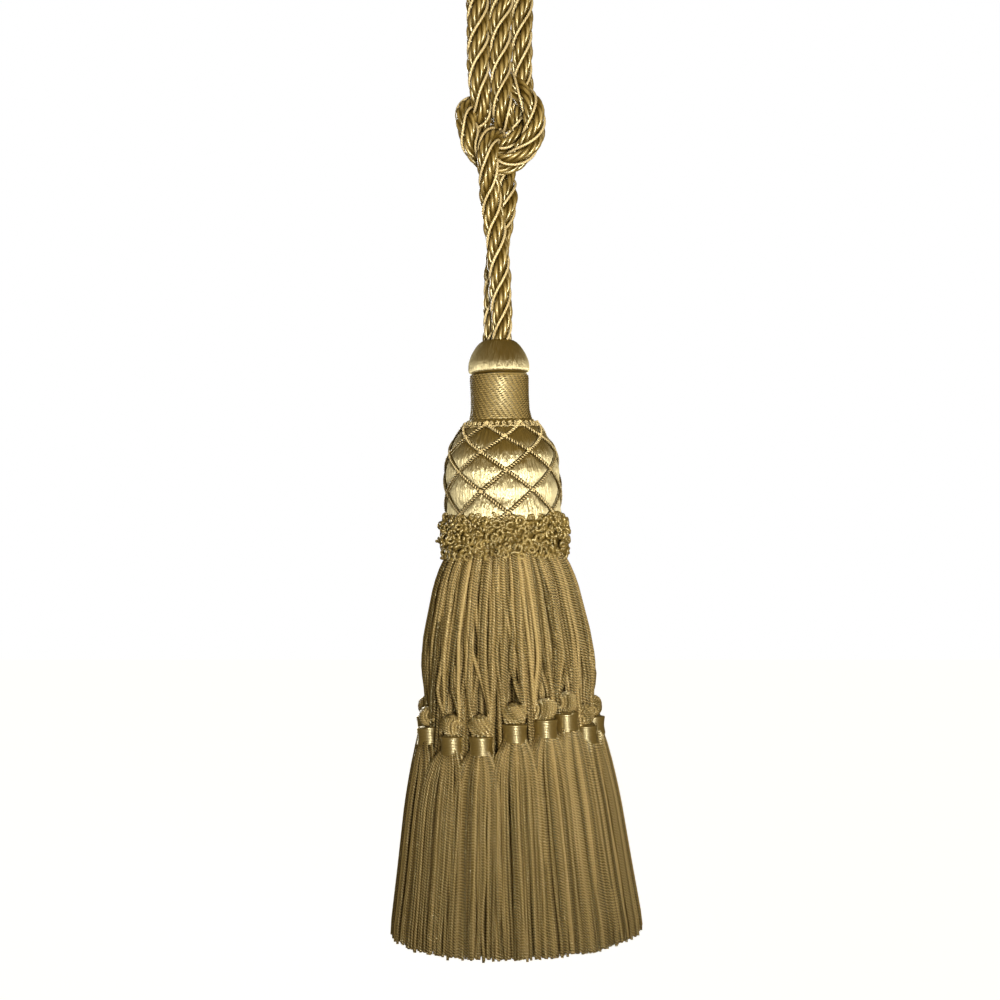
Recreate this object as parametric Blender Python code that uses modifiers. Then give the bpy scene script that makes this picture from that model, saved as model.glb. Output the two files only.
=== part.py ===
"""A curtain tieback tassel: one endless rope knotted through the doubled cord of a large tassel.

Metres, +Z up. The origin is where a hook carries the rope's two loops, +X is to the right of
someone who faces the tassel and +Y points away from them. Tables are in millimetres.
The tassel's own pieces are modelled upright below the top of its cap, and lean together.
"""
import math

import bmesh
import bpy
from mathutils import Euler, Matrix, Vector, noise

MM = 0.001
GAP = 0.3  # between pieces that touch on the real thing

# ---- rope -------------------------------------------------------------------------------
ROPE_RADIUS = 5.0
ROPE_LAY = 46.0  # one full turn of its three plies
ROPE_PLIES = 3
VALLEY = 0.84  # the groove between two plies, as a share of the radius
STEP_FREE = 6.2  # along the rope where it hangs free
STEP_KNOT = 3.6  # along the rope where it is pulled tight
TIGHT_BELOW = 4.75  # a rope thinner than this is pulled tight
LOOP_RADIUS = 11.6  # of the rope's middle where it turns over the hook
LOOP_FRONT = -5.0
LOOP_REAR = 5.4

# Routes: across, depth, height and the rope's radius there. The endless rope starts and ends
# inside the knot, behind the tassel's cord.
UP_THE_RIGHT = (
    (-3.0, 4.5, -123.2, 4.3),
    (2.8, 3.8, -121.3, 4.3),
    (6.8, 3.9, -116.2, 4.3),
    (9.3, 5.2, -110.5, 4.3),
    (10.2, 6.5, -104.5, 4.3),
    (10.5, 7.8, -98.4, 4.4),
    (11.0, 8.9, -92.3, 4.4),
    (11.1, 8.6, -86.1, 4.5),
    (11.0, 7.7, -80.0, 4.6),
    (11.0, 6.8, -73.8, 4.8),
    (11.0, 6.1, -58.8, 4.9),
    (11.5, 5.9, -43.9, 5.0),
    (12.0, 5.7, -28.9, 5.0),
)
DOWN_AND_ROUND_THE_KNOT = (
    (-10.6, 5.7, -23.9, 5.0),
    (-3.2, 6.0, -36.9, 5.0),
    (0.8, 5.8, -51.1, 4.9),
    (-0.3, 5.9, -66.1, 4.9),
    (0.9, 4.8, -80.9, 4.6),
    (3.2, 3.3, -86.4, 4.4),
    (6.6, 0.9, -91.0, 4.4),
    (10.7, -1.3, -95.1, 4.4),
    (14.3, -3.3, -99.7, 4.7),
    (16.2, -4.7, -105.4, 4.8),
    (16.3, -5.2, -111.5, 4.9),
    (14.7, -5.2, -117.5, 4.9),
    (11.5, -4.9, -122.8, 4.8),
    (7.0, -4.6, -126.9, 4.6),
    (1.3, -4.1, -129.1, 4.4),
    (-4.7, -3.5, -127.8, 4.3),
    (-9.9, -3.3, -124.3, 4.3),
    (-13.5, -3.7, -119.3, 4.3),
    (-15.5, -4.0, -113.3, 4.4),
    (-17.5, -2.6, -107.4, 4.3),
    (-17.2, 1.3, -102.3, 4.3),
    (-13.2, 5.6, -99.2, 4.3),
    (-8.3, 9.1, -98.4, 4.5),
    (-3.0, 8.9, -101.2, 4.5),
    (0.8, 4.4, -105.0, 4.3),
    (2.0, -1.4, -107.4, 4.3),
    (1.6, -6.6, -105.6, 4.3),
    (1.3, -8.0, -100.2, 4.4),
    (1.5, -7.2, -94.6, 4.4),
    (1.7, -6.6, -88.8, 4.4),
    (1.9, -5.9, -82.6, 4.5),
    (1.7, -5.5, -76.5, 4.8),
    (-0.2, -5.1, -61.6, 5.0),
    (2.3, -5.0, -46.9, 5.0),
    (8.5, -4.9, -33.3, 5.0),
)
DOWN_THE_LEFT = (
    (-12.2, -4.9, -19.1, 5.0),
    (-11.5, -4.9, -34.1, 5.0),
    (-11.0, -4.9, -49.1, 5.0),
    (-10.7, -4.7, -64.1, 5.0),
    (-10.9, -4.9, -79.1, 5.0),
    (-10.9, -5.3, -85.3, 4.9),
    (-10.7, -5.4, -91.5, 4.8),
    (-9.8, -4.7, -97.5, 4.5),
    (-8.2, -2.1, -103.1, 4.3),
    (-9.5, 1.9, -107.5, 4.3),
    (-11.7, 4.5, -113.0, 4.3),
    (-9.8, 5.3, -118.6, 4.3),
    (-6.8, 5.0, -121.6, 4.3),
)
TASSEL_CORD = (
    (0.5, -4.1, -216.8, 4.2),
    (0.7, -4.1, -212.3, 4.3),
    (0.9, -4.4, -204.4, 4.5),
    (0.3, -4.9, -191.9, 4.8),
    (-0.3, -5.1, -179.4, 4.9),
    (-1.3, -5.1, -166.9, 4.9),
    (-3.0, -4.9, -154.6, 4.9),
    (-4.6, -7.4, -142.5, 4.8),
    (-5.2, -9.9, -136.8, 4.6),
    (-5.6, -12.2, -131.1, 4.4),
    (-5.8, -12.6, -125.0, 4.4),
    (-5.2, -9.6, -119.6, 4.3),
    (-4.4, -4.5, -116.2, 4.3),
    (-2.7, 1.2, -114.1, 4.3),
    (-1.8, 7.4, -113.8, 4.3),
    (-0.1, 12.0, -117.7, 4.3),
    (1.4, 13.2, -123.6, 4.3),
    (2.4, 12.0, -129.7, 4.5),
    (2.9, 9.8, -135.4, 4.7),
    (3.1, 7.1, -141.0, 4.8),
    (2.7, 5.4, -147.0, 4.9),
    (0.4, 5.1, -159.2, 4.9),
    (-1.5, 5.1, -171.6, 4.9),
    (-2.5, 5.0, -184.0, 4.9),
    (-2.8, 4.7, -196.5, 4.7),
    (-3.4, 4.1, -212.3, 4.3),
    (-3.1, 4.1, -216.8, 4.2),
)

# ---- the tassel's head ------------------------------------------------------------------
TASSEL_AT = (-0.95, 0.0, -212.0)  # the top of the cap
LEAN_DEG = 1.8  # the tassel's foot swings to +X
HEAD_SIDES = 28
SEAM_GAP = 0.05  # nearer points than this are one when a turned piece closes

# Profiles: radius, and how far below the top of the cap.
CAP = ((0.0, 5.4), (9.6, 5.4), (9.7, 2.9), (10.5, 2.6), (12.3, 5.6), (13.9, 9.0), (14.5, 12.4),
       (14.3, 14.6), (13.5, 15.4), (0.0, 15.4))
NECK = ((0.0, 15.7), (13.3, 15.7), (13.9, 16.3), (13.7, 26.5), (13.9, 33.0), (14.9, 37.0),
        (0.0, 37.0))
BULB = ((14.4, 37.3), (17.0, 40.4), (20.0, 44.5), (23.0, 49.5), (25.0, 55.0), (26.0, 61.5),
        (26.3, 69.0), (26.2, 78.0), (26.0, 90.0))
COLLAR = ((27.3, 82.6), (28.9, 82.9), (30.4, 85.5), (30.9, 89.5), (30.9, 94.5), (30.7, 98.5),
          (30.6, 101.4), (29.7, 102.0), (29.2, 98.5), (27.6, 93.0))

# ---- the net over the bulb --------------------------------------------------------------
NET_AROUND = 7
NET_SEGMENTS = 3  # straight pieces between two knots
NET_LEVELS = (39.8, 46.2, 53.0, 61.8, 71.2, 81.4, 89.4)  # its rows of knots, below the cap's top
NET_FIRST_DEG = -21.4
NET_WIDTH = 1.4
NET_THICK = 1.1
PILLOW = 1.1  # how far the floss swells between the cords
PILLOW_ROUNDNESS = 0.8  # under 1, the swell is fuller towards its cords
NET_KNOT_REACH = 0.75  # a knot's corner from its middle, in widths of the cord

# ---- the collar of loops ----------------------------------------------------------------
COLLAR_SIDES = 34
LOOP_SIZE = 5.0  # across one lump of the ruff
LOOP_RELIEF = 1.0
LOOP_SINK = 0.3  # more of the ruff's lumps fall inside its outline than outside it
RELIEF_FROM = 28.0  # the ruff is lumpy outside this radius
RELIEF_OVER = 2.5
NOISE_STEP = 0.31  # lumps of the noise in one loop's size

# ---- the skirt --------------------------------------------------------------------------
BACKING_TOP = 90.3
BACKING_FOOT = 92.2
BACKING_RINGS = (26.2, 23.6, 20.2, 16.6, 13.0)  # radii of its rings of faces
BACKING_SIDES = 64
# The skirt's outside: how far below the top of the cap, and its radius.
ENVELOPE = ((90, 26.0), (102, 28.4), (109, 32.0), (116, 34.4), (138, 39.4), (160, 42.8),
            (178, 44.7), (192, 46.6), (218, 51.3), (249, 55.6), (275, 59.4), (284, 59.8))
FOOT = 279.0  # where the strands end
RAGGED = 3.0
# How far the plain strands lie inside the envelope, for each ring: at the root, behind the
# hangers, and at the foot.
MIDDLE_DEPTH = (4.6, 13.4, 8.6)
INNER_DEPTH = (8.0, 20.0, 21.0)
STRAND_WIDTH = 1.25
STRAND_INSET = 0.25  # of a strand's root inside its face of the backing
PLAIN_WIDTH = 2.0
PLAIN_THICK = 1.6
PLAIN_FOOT_WIDTH = 2.6
PLAIN_STATIONS = (126.0, 192.0)  # depths between root and foot where a plain strand bends
SWAY_FROM = 106.0
SWAY_OVER = 100.0
SWAY_DEG = 2.0
GATHER_STATIONS = (103.0, 138.0)
GATHER_FROM = 100.0  # the outer strands begin to draw together here
GATHER_SIDE = 1.1  # between a gathered strand and its hanger's middle line
GATHER_LAYER = 1.15  # between the two layers of gathered strands and their middle
LAYER_FROM = 96.0
LAYER_OVER = 40.0
SKIN = 0.9  # a gathered strand's middle lies this far inside the envelope at the root

# ---- the hangers: small tassels tied into the skirt ------------------------------------
# Which way each faces, in degrees from the front, and its band's middle below the cap's top.
HANGERS = (
    (-74, 184.8), (-42, 187.0), (-19.5, 186.6), (3, 181.4), (24, 180.2), (41.5, 178.0),
    (61, 185.2), (84, 183.0), (106, 184.0), (128, 181.5), (150, 185.5), (172, 183.0),
    (-165, 181.0), (-143, 185.0), (-120, 183.5), (-97, 181.5),
)
STRANDS_PER_HANGER = 4
KNOT_RADIUS = 4.2
KNOT_HALF_HEIGHT = 4.7
KNOT_LUMP = 0.04  # the depth of its lumps, as a share of the radius
KNOT_TURN = 1.7  # each knot is turned on by this share of the way it faces
BAND_RADIUS = 5.4
BAND_WAIST = 4.9
BAND_HEIGHT = 8.0
KNOT_ABOVE_BAND = BAND_HEIGHT / 2 + GAP + KNOT_HALF_HEIGHT  # between their middles
HANGER_DEPTH = 5.8  # the middle of a hanger lies this far inside the envelope
TUFT_ACROSS = 3
TUFT_DEEP = 2
TUFT_ROOT = 1.7
TUFT_FOOT = 3.5
TUFT_THICK = 1.8
TUFT_FRONT = 1.2
TUFT_REAR = 4.6
TUFT_SPREAD = 0.94
TUFT_STAGGER = 0.25  # of a column, between the front row's strands and the rear row's
TUFT_BEND = 18.0  # below its band, where a strand of the small fringe bends

GOLD = (0.36, 0.25, 0.075, 1.0)
PALE_GOLD = (0.52, 0.39, 0.15, 1.0)
DEEP_GOLD = (0.27, 0.185, 0.05, 1.0)


def clear_scene():
    """Start from an empty scene."""
    for o in list(bpy.data.objects):
        bpy.data.objects.remove(o, do_unlink=True)


def collection(name):
    """A new collection in the scene."""
    made = bpy.data.collections.new(name)
    bpy.context.scene.collection.children.link(made)
    return made


def thread_material(name, colour, roughness):
    """A plain dyed yarn."""
    m = bpy.data.materials.new(name)
    m.use_nodes = True
    shader = m.node_tree.nodes["Principled BSDF"]
    shader.inputs["Base Color"].default_value = colour
    shader.inputs["Roughness"].default_value = roughness
    shader.inputs["Metallic"].default_value = 0.0
    return m


def between(x, rows):
    """A value read off a table of (x, value) rows, in straight lines."""
    if x <= rows[0][0]:
        return rows[0][1]
    for (x0, v0), (x1, v1) in zip(rows, rows[1:]):
        if x <= x1:
            return v0 + (v1 - v0) * (x - x0) / (x1 - x0)
    return rows[-1][1]


def ease(t):
    """0 to 1 with a soft start and end."""
    t = min(max(t, 0.0), 1.0)
    return t * t * (3 - 2 * t)


def scatter(*key):
    """A repeatable number from -1 to 1 for a key of numbers."""
    return noise.noise(Vector([7.31 * k + 0.37 * i for i, k in enumerate(key)] + [0.5] * (3 - len(key))))


def to_object(name, mesh_maker, material, parts, smooth_angle=50):
    """Turn a bmesh in millimetres into a named object hung from the tassel's top."""
    mesh = bpy.data.meshes.new(name)
    bmesh.ops.scale(mesh_maker, vec=(MM, MM, MM), verts=mesh_maker.verts)
    bmesh.ops.recalc_face_normals(mesh_maker, faces=mesh_maker.faces)
    mesh_maker.to_mesh(mesh)
    mesh_maker.free()
    mesh.shade_smooth()
    mesh.set_sharp_from_angle(angle=math.radians(smooth_angle))
    o = bpy.data.objects.new(name, mesh)
    o.data.materials.append(material)
    parts.objects.link(o)
    o.parent = bpy.data.objects["tassel_top"]
    return o


def facing(degrees, radius, below):
    """The point at this radius, this way round from the front and this far below the cap's top."""
    a = math.radians(degrees)
    return Vector((radius * math.sin(a), -radius * math.cos(a), -below))


# ---- rope -------------------------------------------------------------------------------
def hook_loop(depth):
    """The rope's half turn over the hook, from right to left."""
    middle = ROPE_RADIUS - LOOP_RADIUS
    return tuple(
        (
            LOOP_RADIUS * math.cos(math.radians(a)),
            depth,
            middle + LOOP_RADIUS * math.sin(math.radians(a)),
            ROPE_RADIUS,
        )
        for a in range(0, 181, 30)
    )


def smooth_route(rows):
    """Points along a smooth curve through the rows, closer together where the rope is tight."""
    rows = [Vector(r) for r in rows]
    ends = [2 * rows[0] - rows[1], *rows, 2 * rows[-1] - rows[-2]]
    points = []
    for p0, p1, p2, p3 in zip(ends, ends[1:], ends[2:], ends[3:]):
        knots = [0.0]
        for a, b in ((p0, p1), (p1, p2), (p2, p3)):
            knots.append(knots[-1] + math.sqrt((b.xyz - a.xyz).length))
        t0, t1, t2, t3 = knots
        step = STEP_KNOT if min(p1.w, p2.w) < TIGHT_BELOW else STEP_FREE
        count = max(1, round((p2.xyz - p1.xyz).length / step))
        for i in range(count):
            t = t1 + (t2 - t1) * i / count
            a1 = p0.lerp(p1, (t - t0) / (t1 - t0))
            a2 = p1.lerp(p2, (t - t1) / (t2 - t1))
            a3 = p2.lerp(p3, (t - t2) / (t3 - t2))
            b1 = a1.lerp(a2, (t - t0) / (t2 - t0))
            b2 = a2.lerp(a3, (t - t1) / (t3 - t1))
            points.append(b1.lerp(b2, (t - t1) / (t2 - t1)))
    points.append(rows[-1])
    return points


def ply_outline(guides):
    """The rope's cross-section, a rounded trefoil of its three plies."""
    data = bpy.data.curves.new("ply_outline", "CURVE")
    data.dimensions = "2D"
    data.fill_mode = "NONE"
    corners = 3 * ROPE_PLIES
    spline = data.splines.new("POLY")
    spline.points.add(corners - 1)
    for i, point in enumerate(spline.points):
        angle = -2 * math.pi * i / corners
        radius = ROPE_RADIUS * MM * (VALLEY if i % 3 == 0 else 1.0)
        point.co = (radius * math.cos(angle), radius * math.sin(angle), 0, 1)
    spline.use_cyclic_u = True
    outline = bpy.data.objects.new("ply_outline", data)
    outline.hide_render = True
    outline.display_type = "WIRE"
    guides.objects.link(outline)
    return outline


def rope(name, rows, outline, material, parts):
    """A laid rope along a route, its plies turning with its length."""
    points = smooth_route(rows)
    data = bpy.data.curves.new(name, "CURVE")
    data.dimensions = "3D"
    data.bevel_mode = "OBJECT"
    data.bevel_object = outline
    data.use_fill_caps = True
    spline = data.splines.new("POLY")
    spline.points.add(len(points) - 1)
    along = 0.0
    for i, p in enumerate(points):
        if i:
            along += (p.xyz - points[i - 1].xyz).length
        spline.points[i].co = (*(p.xyz * MM), 1)
        spline.points[i].radius = p.w / ROPE_RADIUS
        spline.points[i].tilt = 2 * math.pi * along / ROPE_LAY
    spline.use_smooth = True
    o = bpy.data.objects.new(name, data)
    o.data.materials.append(material)
    parts.objects.link(o)
    print(f"{name}: {along:.0f} mm long, {len(points)} points")
    return o


# ---- the head ---------------------------------------------------------------------------
def turned(name, profile, material, parts):
    """A piece turned on the tassel's axis from a profile that runs down its outer side."""
    mesh = bpy.data.meshes.new(name)
    points = [(radius * MM, 0, -below * MM) for radius, below in profile]
    mesh.from_pydata(points, [(i, i + 1) for i in range(len(points) - 1)], [])
    o = bpy.data.objects.new(name, mesh)
    o.data.materials.append(material)
    parts.objects.link(o)
    o.parent = bpy.data.objects["tassel_top"]
    screw = o.modifiers.new("turn", "SCREW")
    screw.axis = "Z"
    screw.steps = HEAD_SIDES
    screw.render_steps = HEAD_SIDES
    screw.use_merge_vertices = True
    screw.merge_threshold = SEAM_GAP * MM
    return o


def bulb_point(turn, row, lift):
    """A point on the bulb: turns of the net round it, rows of knots down it, and its lift."""
    below = between(row, tuple(enumerate(NET_LEVELS)))
    if row < 0:
        below = NET_LEVELS[0] + row * (NET_LEVELS[1] - NET_LEVELS[0])
    radius = between(below, tuple((b, r) for r, b in BULB))
    return facing(NET_FIRST_DEG + 360 * turn / NET_AROUND, radius + lift, below)


def swell(turn, row):
    """How far the floss stands out at this place: nothing under a cord, most inside a diamond."""
    across = math.sin(math.pi * (turn + row / 2)) * math.sin(math.pi * (turn - row / 2))
    return PILLOW * abs(across) ** PILLOW_ROUNDNESS


def bulb(material, parts):
    """The wooden mould covered with floss, swelling between the cords of the net."""
    bm = bmesh.new()
    around = NET_AROUND * NET_SEGMENTS
    rows = [i / NET_SEGMENTS for i in range(NET_SEGMENTS * (len(NET_LEVELS) - 1) + 1)]
    rings = []
    for k, row in enumerate(rows):
        turns = [(i + (k % 2) / 2) / NET_SEGMENTS for i in range(around)]
        rings.append([bm.verts.new(bulb_point(t, row, swell(t, row))) for t in turns])
    for k, (upper, lower) in enumerate(zip(rings, rings[1:])):
        for i in range(around):
            j = (i + 1) % around
            if k % 2 == 0:
                bm.faces.new((upper[i], lower[i], upper[j]))
                bm.faces.new((upper[j], lower[i], lower[j]))
            else:
                bm.faces.new((upper[i], lower[i], lower[j]))
                bm.faces.new((upper[i], lower[j], upper[j]))
    top = [bm.verts.new(facing(NET_FIRST_DEG + 360 * i / around, BULB[0][0], BULB[0][1]))
           for i in range(around)]
    for i in range(around):
        j = (i + 1) % around
        bm.faces.new((top[i], rings[0][i], rings[0][j], top[j]))
    bm.faces.new(top)
    bm.faces.new(rings[-1])
    return to_object("bulb", bm, material, parts, 30)


def net(material, parts):
    """The cord net: a small flat knot at each crossing, joined by cords along the diamonds."""
    bm = bmesh.new()
    levels = len(NET_LEVELS)
    inner, outer = GAP, GAP + NET_THICK

    def corner(turn, row, east, south):
        """The two points, inside and outside, that stand beside (turn, row)."""
        below = between(row, tuple(enumerate(NET_LEVELS)))
        radius = between(below, tuple((b, r) for r, b in BULB))
        k = min(int(row), levels - 2)
        span = NET_LEVELS[k + 1] - NET_LEVELS[k]
        t = turn + east * NET_WIDTH * NET_AROUND / (2 * math.pi * radius) * NET_KNOT_REACH
        r = row + south * NET_WIDTH / span * NET_KNOT_REACH
        return [bm.verts.new(bulb_point(t, r, lift)) for lift in (inner, outer)]

    knots = {}
    for row in range(levels - 1):
        for i in range(NET_AROUND):
            turn = i + (row % 2) / 2
            north, east, south, west = (
                corner(turn, row, *way) for way in ((0, -1), (1, 0), (0, 1), (-1, 0))
            )
            knots[row, i] = {"N": north, "E": east, "S": south, "W": west}
            for side in (0, 1):
                bm.faces.new([w[side] for w in (north, east, south, west)])
    used = set()
    for row in range(levels - 2):
        for i in range(NET_AROUND):
            turn = i + (row % 2) / 2
            for lean, near, far in ((1, ("E", "S"), ("N", "W")), (-1, ("W", "S"), ("N", "E"))):
                other = (i + (row % 2 if lean > 0 else row % 2 - 1)) % NET_AROUND
                used.update(((row, i, near), (row + 1, other, far)))
                start = [knots[row, i][w] for w in near]
                end = [knots[row + 1, other][w] for w in far]
                rings = [start]
                for s in range(1, NET_SEGMENTS):
                    share = s / NET_SEGMENTS
                    at = (turn + lean * share / 2, row + share)
                    sides = ((lean / 2, -1 / 2), (-lean / 2, 1 / 2))
                    rings.append([corner(*at, *side) for side in sides])
                rings.append(end)
                for (a, b), (c, d) in zip(rings, rings[1:]):
                    bm.faces.new((a[0], b[0], d[0], c[0]))
                    bm.faces.new((a[1], b[1], d[1], c[1]))
                    bm.faces.new((a[0], a[1], c[1], c[0]))
                    bm.faces.new((b[0], b[1], d[1], d[0]))
    for (row, i), knot in knots.items():
        for side in (("E", "S"), ("W", "S"), ("N", "W"), ("N", "E")):
            if (row, i, side) not in used:
                a, b = (knot[w] for w in side)
                bm.faces.new((a[0], a[1], b[1], b[0]))
    return to_object("net", bm, material, parts, 40)


def collar(material, parts):
    """The ruff of small twisted loops, a lumpy band round the bulb's foot."""
    bm = bmesh.new()
    rings = []
    for i in range(COLLAR_SIDES):
        degrees = 360 * i / COLLAR_SIDES
        ring = []
        for radius, below in COLLAR:
            outside = ease((radius - RELIEF_FROM) / RELIEF_OVER)
            lump = scatter(*(facing(degrees, radius, below) / LOOP_SIZE * NOISE_STEP))
            lumpy = radius + outside * LOOP_RELIEF * (lump - LOOP_SINK)
            ring.append(bm.verts.new(facing(degrees, lumpy, below)))
        rings.append(ring)
    count = len(COLLAR)
    for i in range(COLLAR_SIDES):
        a, b = rings[i], rings[(i + 1) % COLLAR_SIDES]
        for k in range(count):
            m = (k + 1) % count
            bm.faces.new((a[k], a[m], b[m], b[k]))
    return to_object("collar", bm, material, parts)


# ---- skirt and hangers ------------------------------------------------------------------
def pull_strand(bm, face, stations):
    """Draw a strand out of a face: each station is a middle, a facing angle, width and depth."""
    middle = face.calc_center_median()
    bmesh.ops.inset_individual(bm, faces=[face], thickness=STRAND_INSET)
    for at, degrees, wide, deep in stations:
        across = facing(degrees + 90, 1, 0)
        outward = facing(degrees, 1, 0)
        corners = [at + across * sx * wide / 2 + outward * sy * deep / 2
                   for sx, sy in ((-1, -1), (1, -1), (1, 1), (-1, 1))]
        made = bmesh.ops.extrude_discrete_faces(bm, faces=[face])
        face = made["faces"][0]
        verts = sorted(face.verts, key=lambda v: math.atan2(
            (v.co - face.calc_center_median()).y, (v.co - face.calc_center_median()).x))
        centre = sum(corners, Vector()) / 4
        corners.sort(key=lambda c: math.atan2((c - centre).y, (c - centre).x))
        # start both rings at the corner nearest to the same direction
        best = min(range(4), key=lambda s: sum(
            ((verts[(k + s) % 4].co - middle).to_2d().normalized()
             - (corners[k] - centre).to_2d().normalized()).length for k in range(4)))
        for k in range(4):
            verts[(k + best) % 4].co = corners[k]
        middle = centre


def envelope(below):
    """The skirt's outer radius this far below the cap's top."""
    return between(below, ENVELOPE)


def plain_strand(degrees, depths, root, sway):
    """The stations of a strand that falls straight to the foot of the skirt."""
    foot = FOOT + RAGGED * scatter(degrees * 0.1, root)
    behind = PLAIN_STATIONS[-1]
    depth_at = ((BACKING_FOOT, depths[0]), (behind, depths[1]), (FOOT, depths[2]))
    made = []
    for below in (*PLAIN_STATIONS, foot):
        turn = degrees + sway * ease((below - SWAY_FROM) / SWAY_OVER)
        at = facing(turn, envelope(below) - between(below, depth_at), below)
        made.append((at, turn, PLAIN_WIDTH if below <= behind else PLAIN_FOOT_WIDTH, PLAIN_THICK))
    return made


def gathered_strand(degrees, hanger, side, layer):
    """The stations of a strand that is drawn in from the ruff to a hanger's knot."""
    target, band = hanger
    end = band - KNOT_ABOVE_BAND - KNOT_HALF_HEIGHT - GAP
    made = []
    for below in (*GATHER_STATIONS, end):
        pull = ease((below - GATHER_FROM) / (end - GATHER_FROM))
        swing = (target - degrees + 180) % 360 - 180
        turn = degrees + swing * pull
        radius = envelope(below) - SKIN - pull * (HANGER_DEPTH - SKIN)
        at = facing(turn, radius, below)
        at += facing(turn + 90, 1, 0) * side * GATHER_SIDE * pull
        at += facing(turn, 1, 0) * layer * GATHER_LAYER * ease((below - LAYER_FROM) / LAYER_OVER)
        made.append((at, turn, STRAND_WIDTH, STRAND_WIDTH))
    return made


def skirt(material, parts):
    """The long fringe, its strands fused at the root into one ring under the ruff."""
    bm = bmesh.new()
    sides = BACKING_SIDES
    first = HANGERS[0][0] - 180 / len(HANGERS)
    rings = {}
    for level in (BACKING_TOP, BACKING_FOOT):
        for r, radius in enumerate(BACKING_RINGS):
            if level == BACKING_TOP and 0 < r < len(BACKING_RINGS) - 1:
                continue
            rings[level, r] = [
                bm.verts.new(facing(first + 360 * i / sides, radius, level)) for i in range(sides)
            ]
    last = len(BACKING_RINGS) - 1

    def strip(a, b):
        return [bm.faces.new((a[i], a[(i + 1) % sides], b[(i + 1) % sides], b[i]))
                for i in range(sides)]

    strip(rings[BACKING_TOP, 0], rings[BACKING_TOP, last])
    strip(rings[BACKING_TOP, 0], rings[BACKING_FOOT, 0])
    strip(rings[BACKING_TOP, last], rings[BACKING_FOOT, last])
    beds = [strip(rings[BACKING_FOOT, r], rings[BACKING_FOOT, r + 1]) for r in range(last)]
    bmesh.ops.recalc_face_normals(bm, faces=bm.faces)
    order = sorted(HANGERS)
    begin = min(range(len(order)), key=lambda k: abs(order[k][0] - HANGERS[0][0]))
    order = order[begin:] + order[:begin]
    count = 0
    for i in range(sides):
        degrees = first + 360 * (i + 0.5) / sides
        hanger = order[(i // STRANDS_PER_HANGER) % len(order)]
        place = i % STRANDS_PER_HANGER
        side = -1 if place < 2 else 1
        layer = 1 if place in (0, 3) else -1
        pull_strand(bm, beds[0][i], gathered_strand(degrees, hanger, side, layer))
        count += 1
        if i % 4 != 3:
            pull_strand(bm, beds[1][i], plain_strand(degrees, MIDDLE_DEPTH, 1.0, SWAY_DEG * scatter(i, 3)))
            count += 1
        if i % 4 == 1:
            pull_strand(bm, beds[2][i], plain_strand(degrees, INNER_DEPTH, 2.0, 0.0))
            count += 1
    print(f"skirt: {count} strands")
    return to_object("skirt", bm, material, parts, 60)


def hanger_knot(number, degrees, band, material, parts):
    """The lumpy knot on top of a hanger."""
    bm = bmesh.new()
    bmesh.ops.create_icosphere(bm, subdivisions=2, radius=KNOT_RADIUS)
    for i, v in enumerate(bm.verts):
        v.co *= 1 - KNOT_LUMP * (i % 3)
        v.co.z *= KNOT_HALF_HEIGHT / KNOT_RADIUS
    middle = facing(degrees, envelope(band - KNOT_ABOVE_BAND) - HANGER_DEPTH, band - KNOT_ABOVE_BAND)
    spin = Matrix.Rotation(math.radians(degrees * KNOT_TURN), 4, "Z")
    bmesh.ops.transform(bm, matrix=Matrix.Translation(middle) @ spin, verts=bm.verts)
    return to_object(f"hanger_knot_{number:02d}", bm, material, parts, 70)


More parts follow.
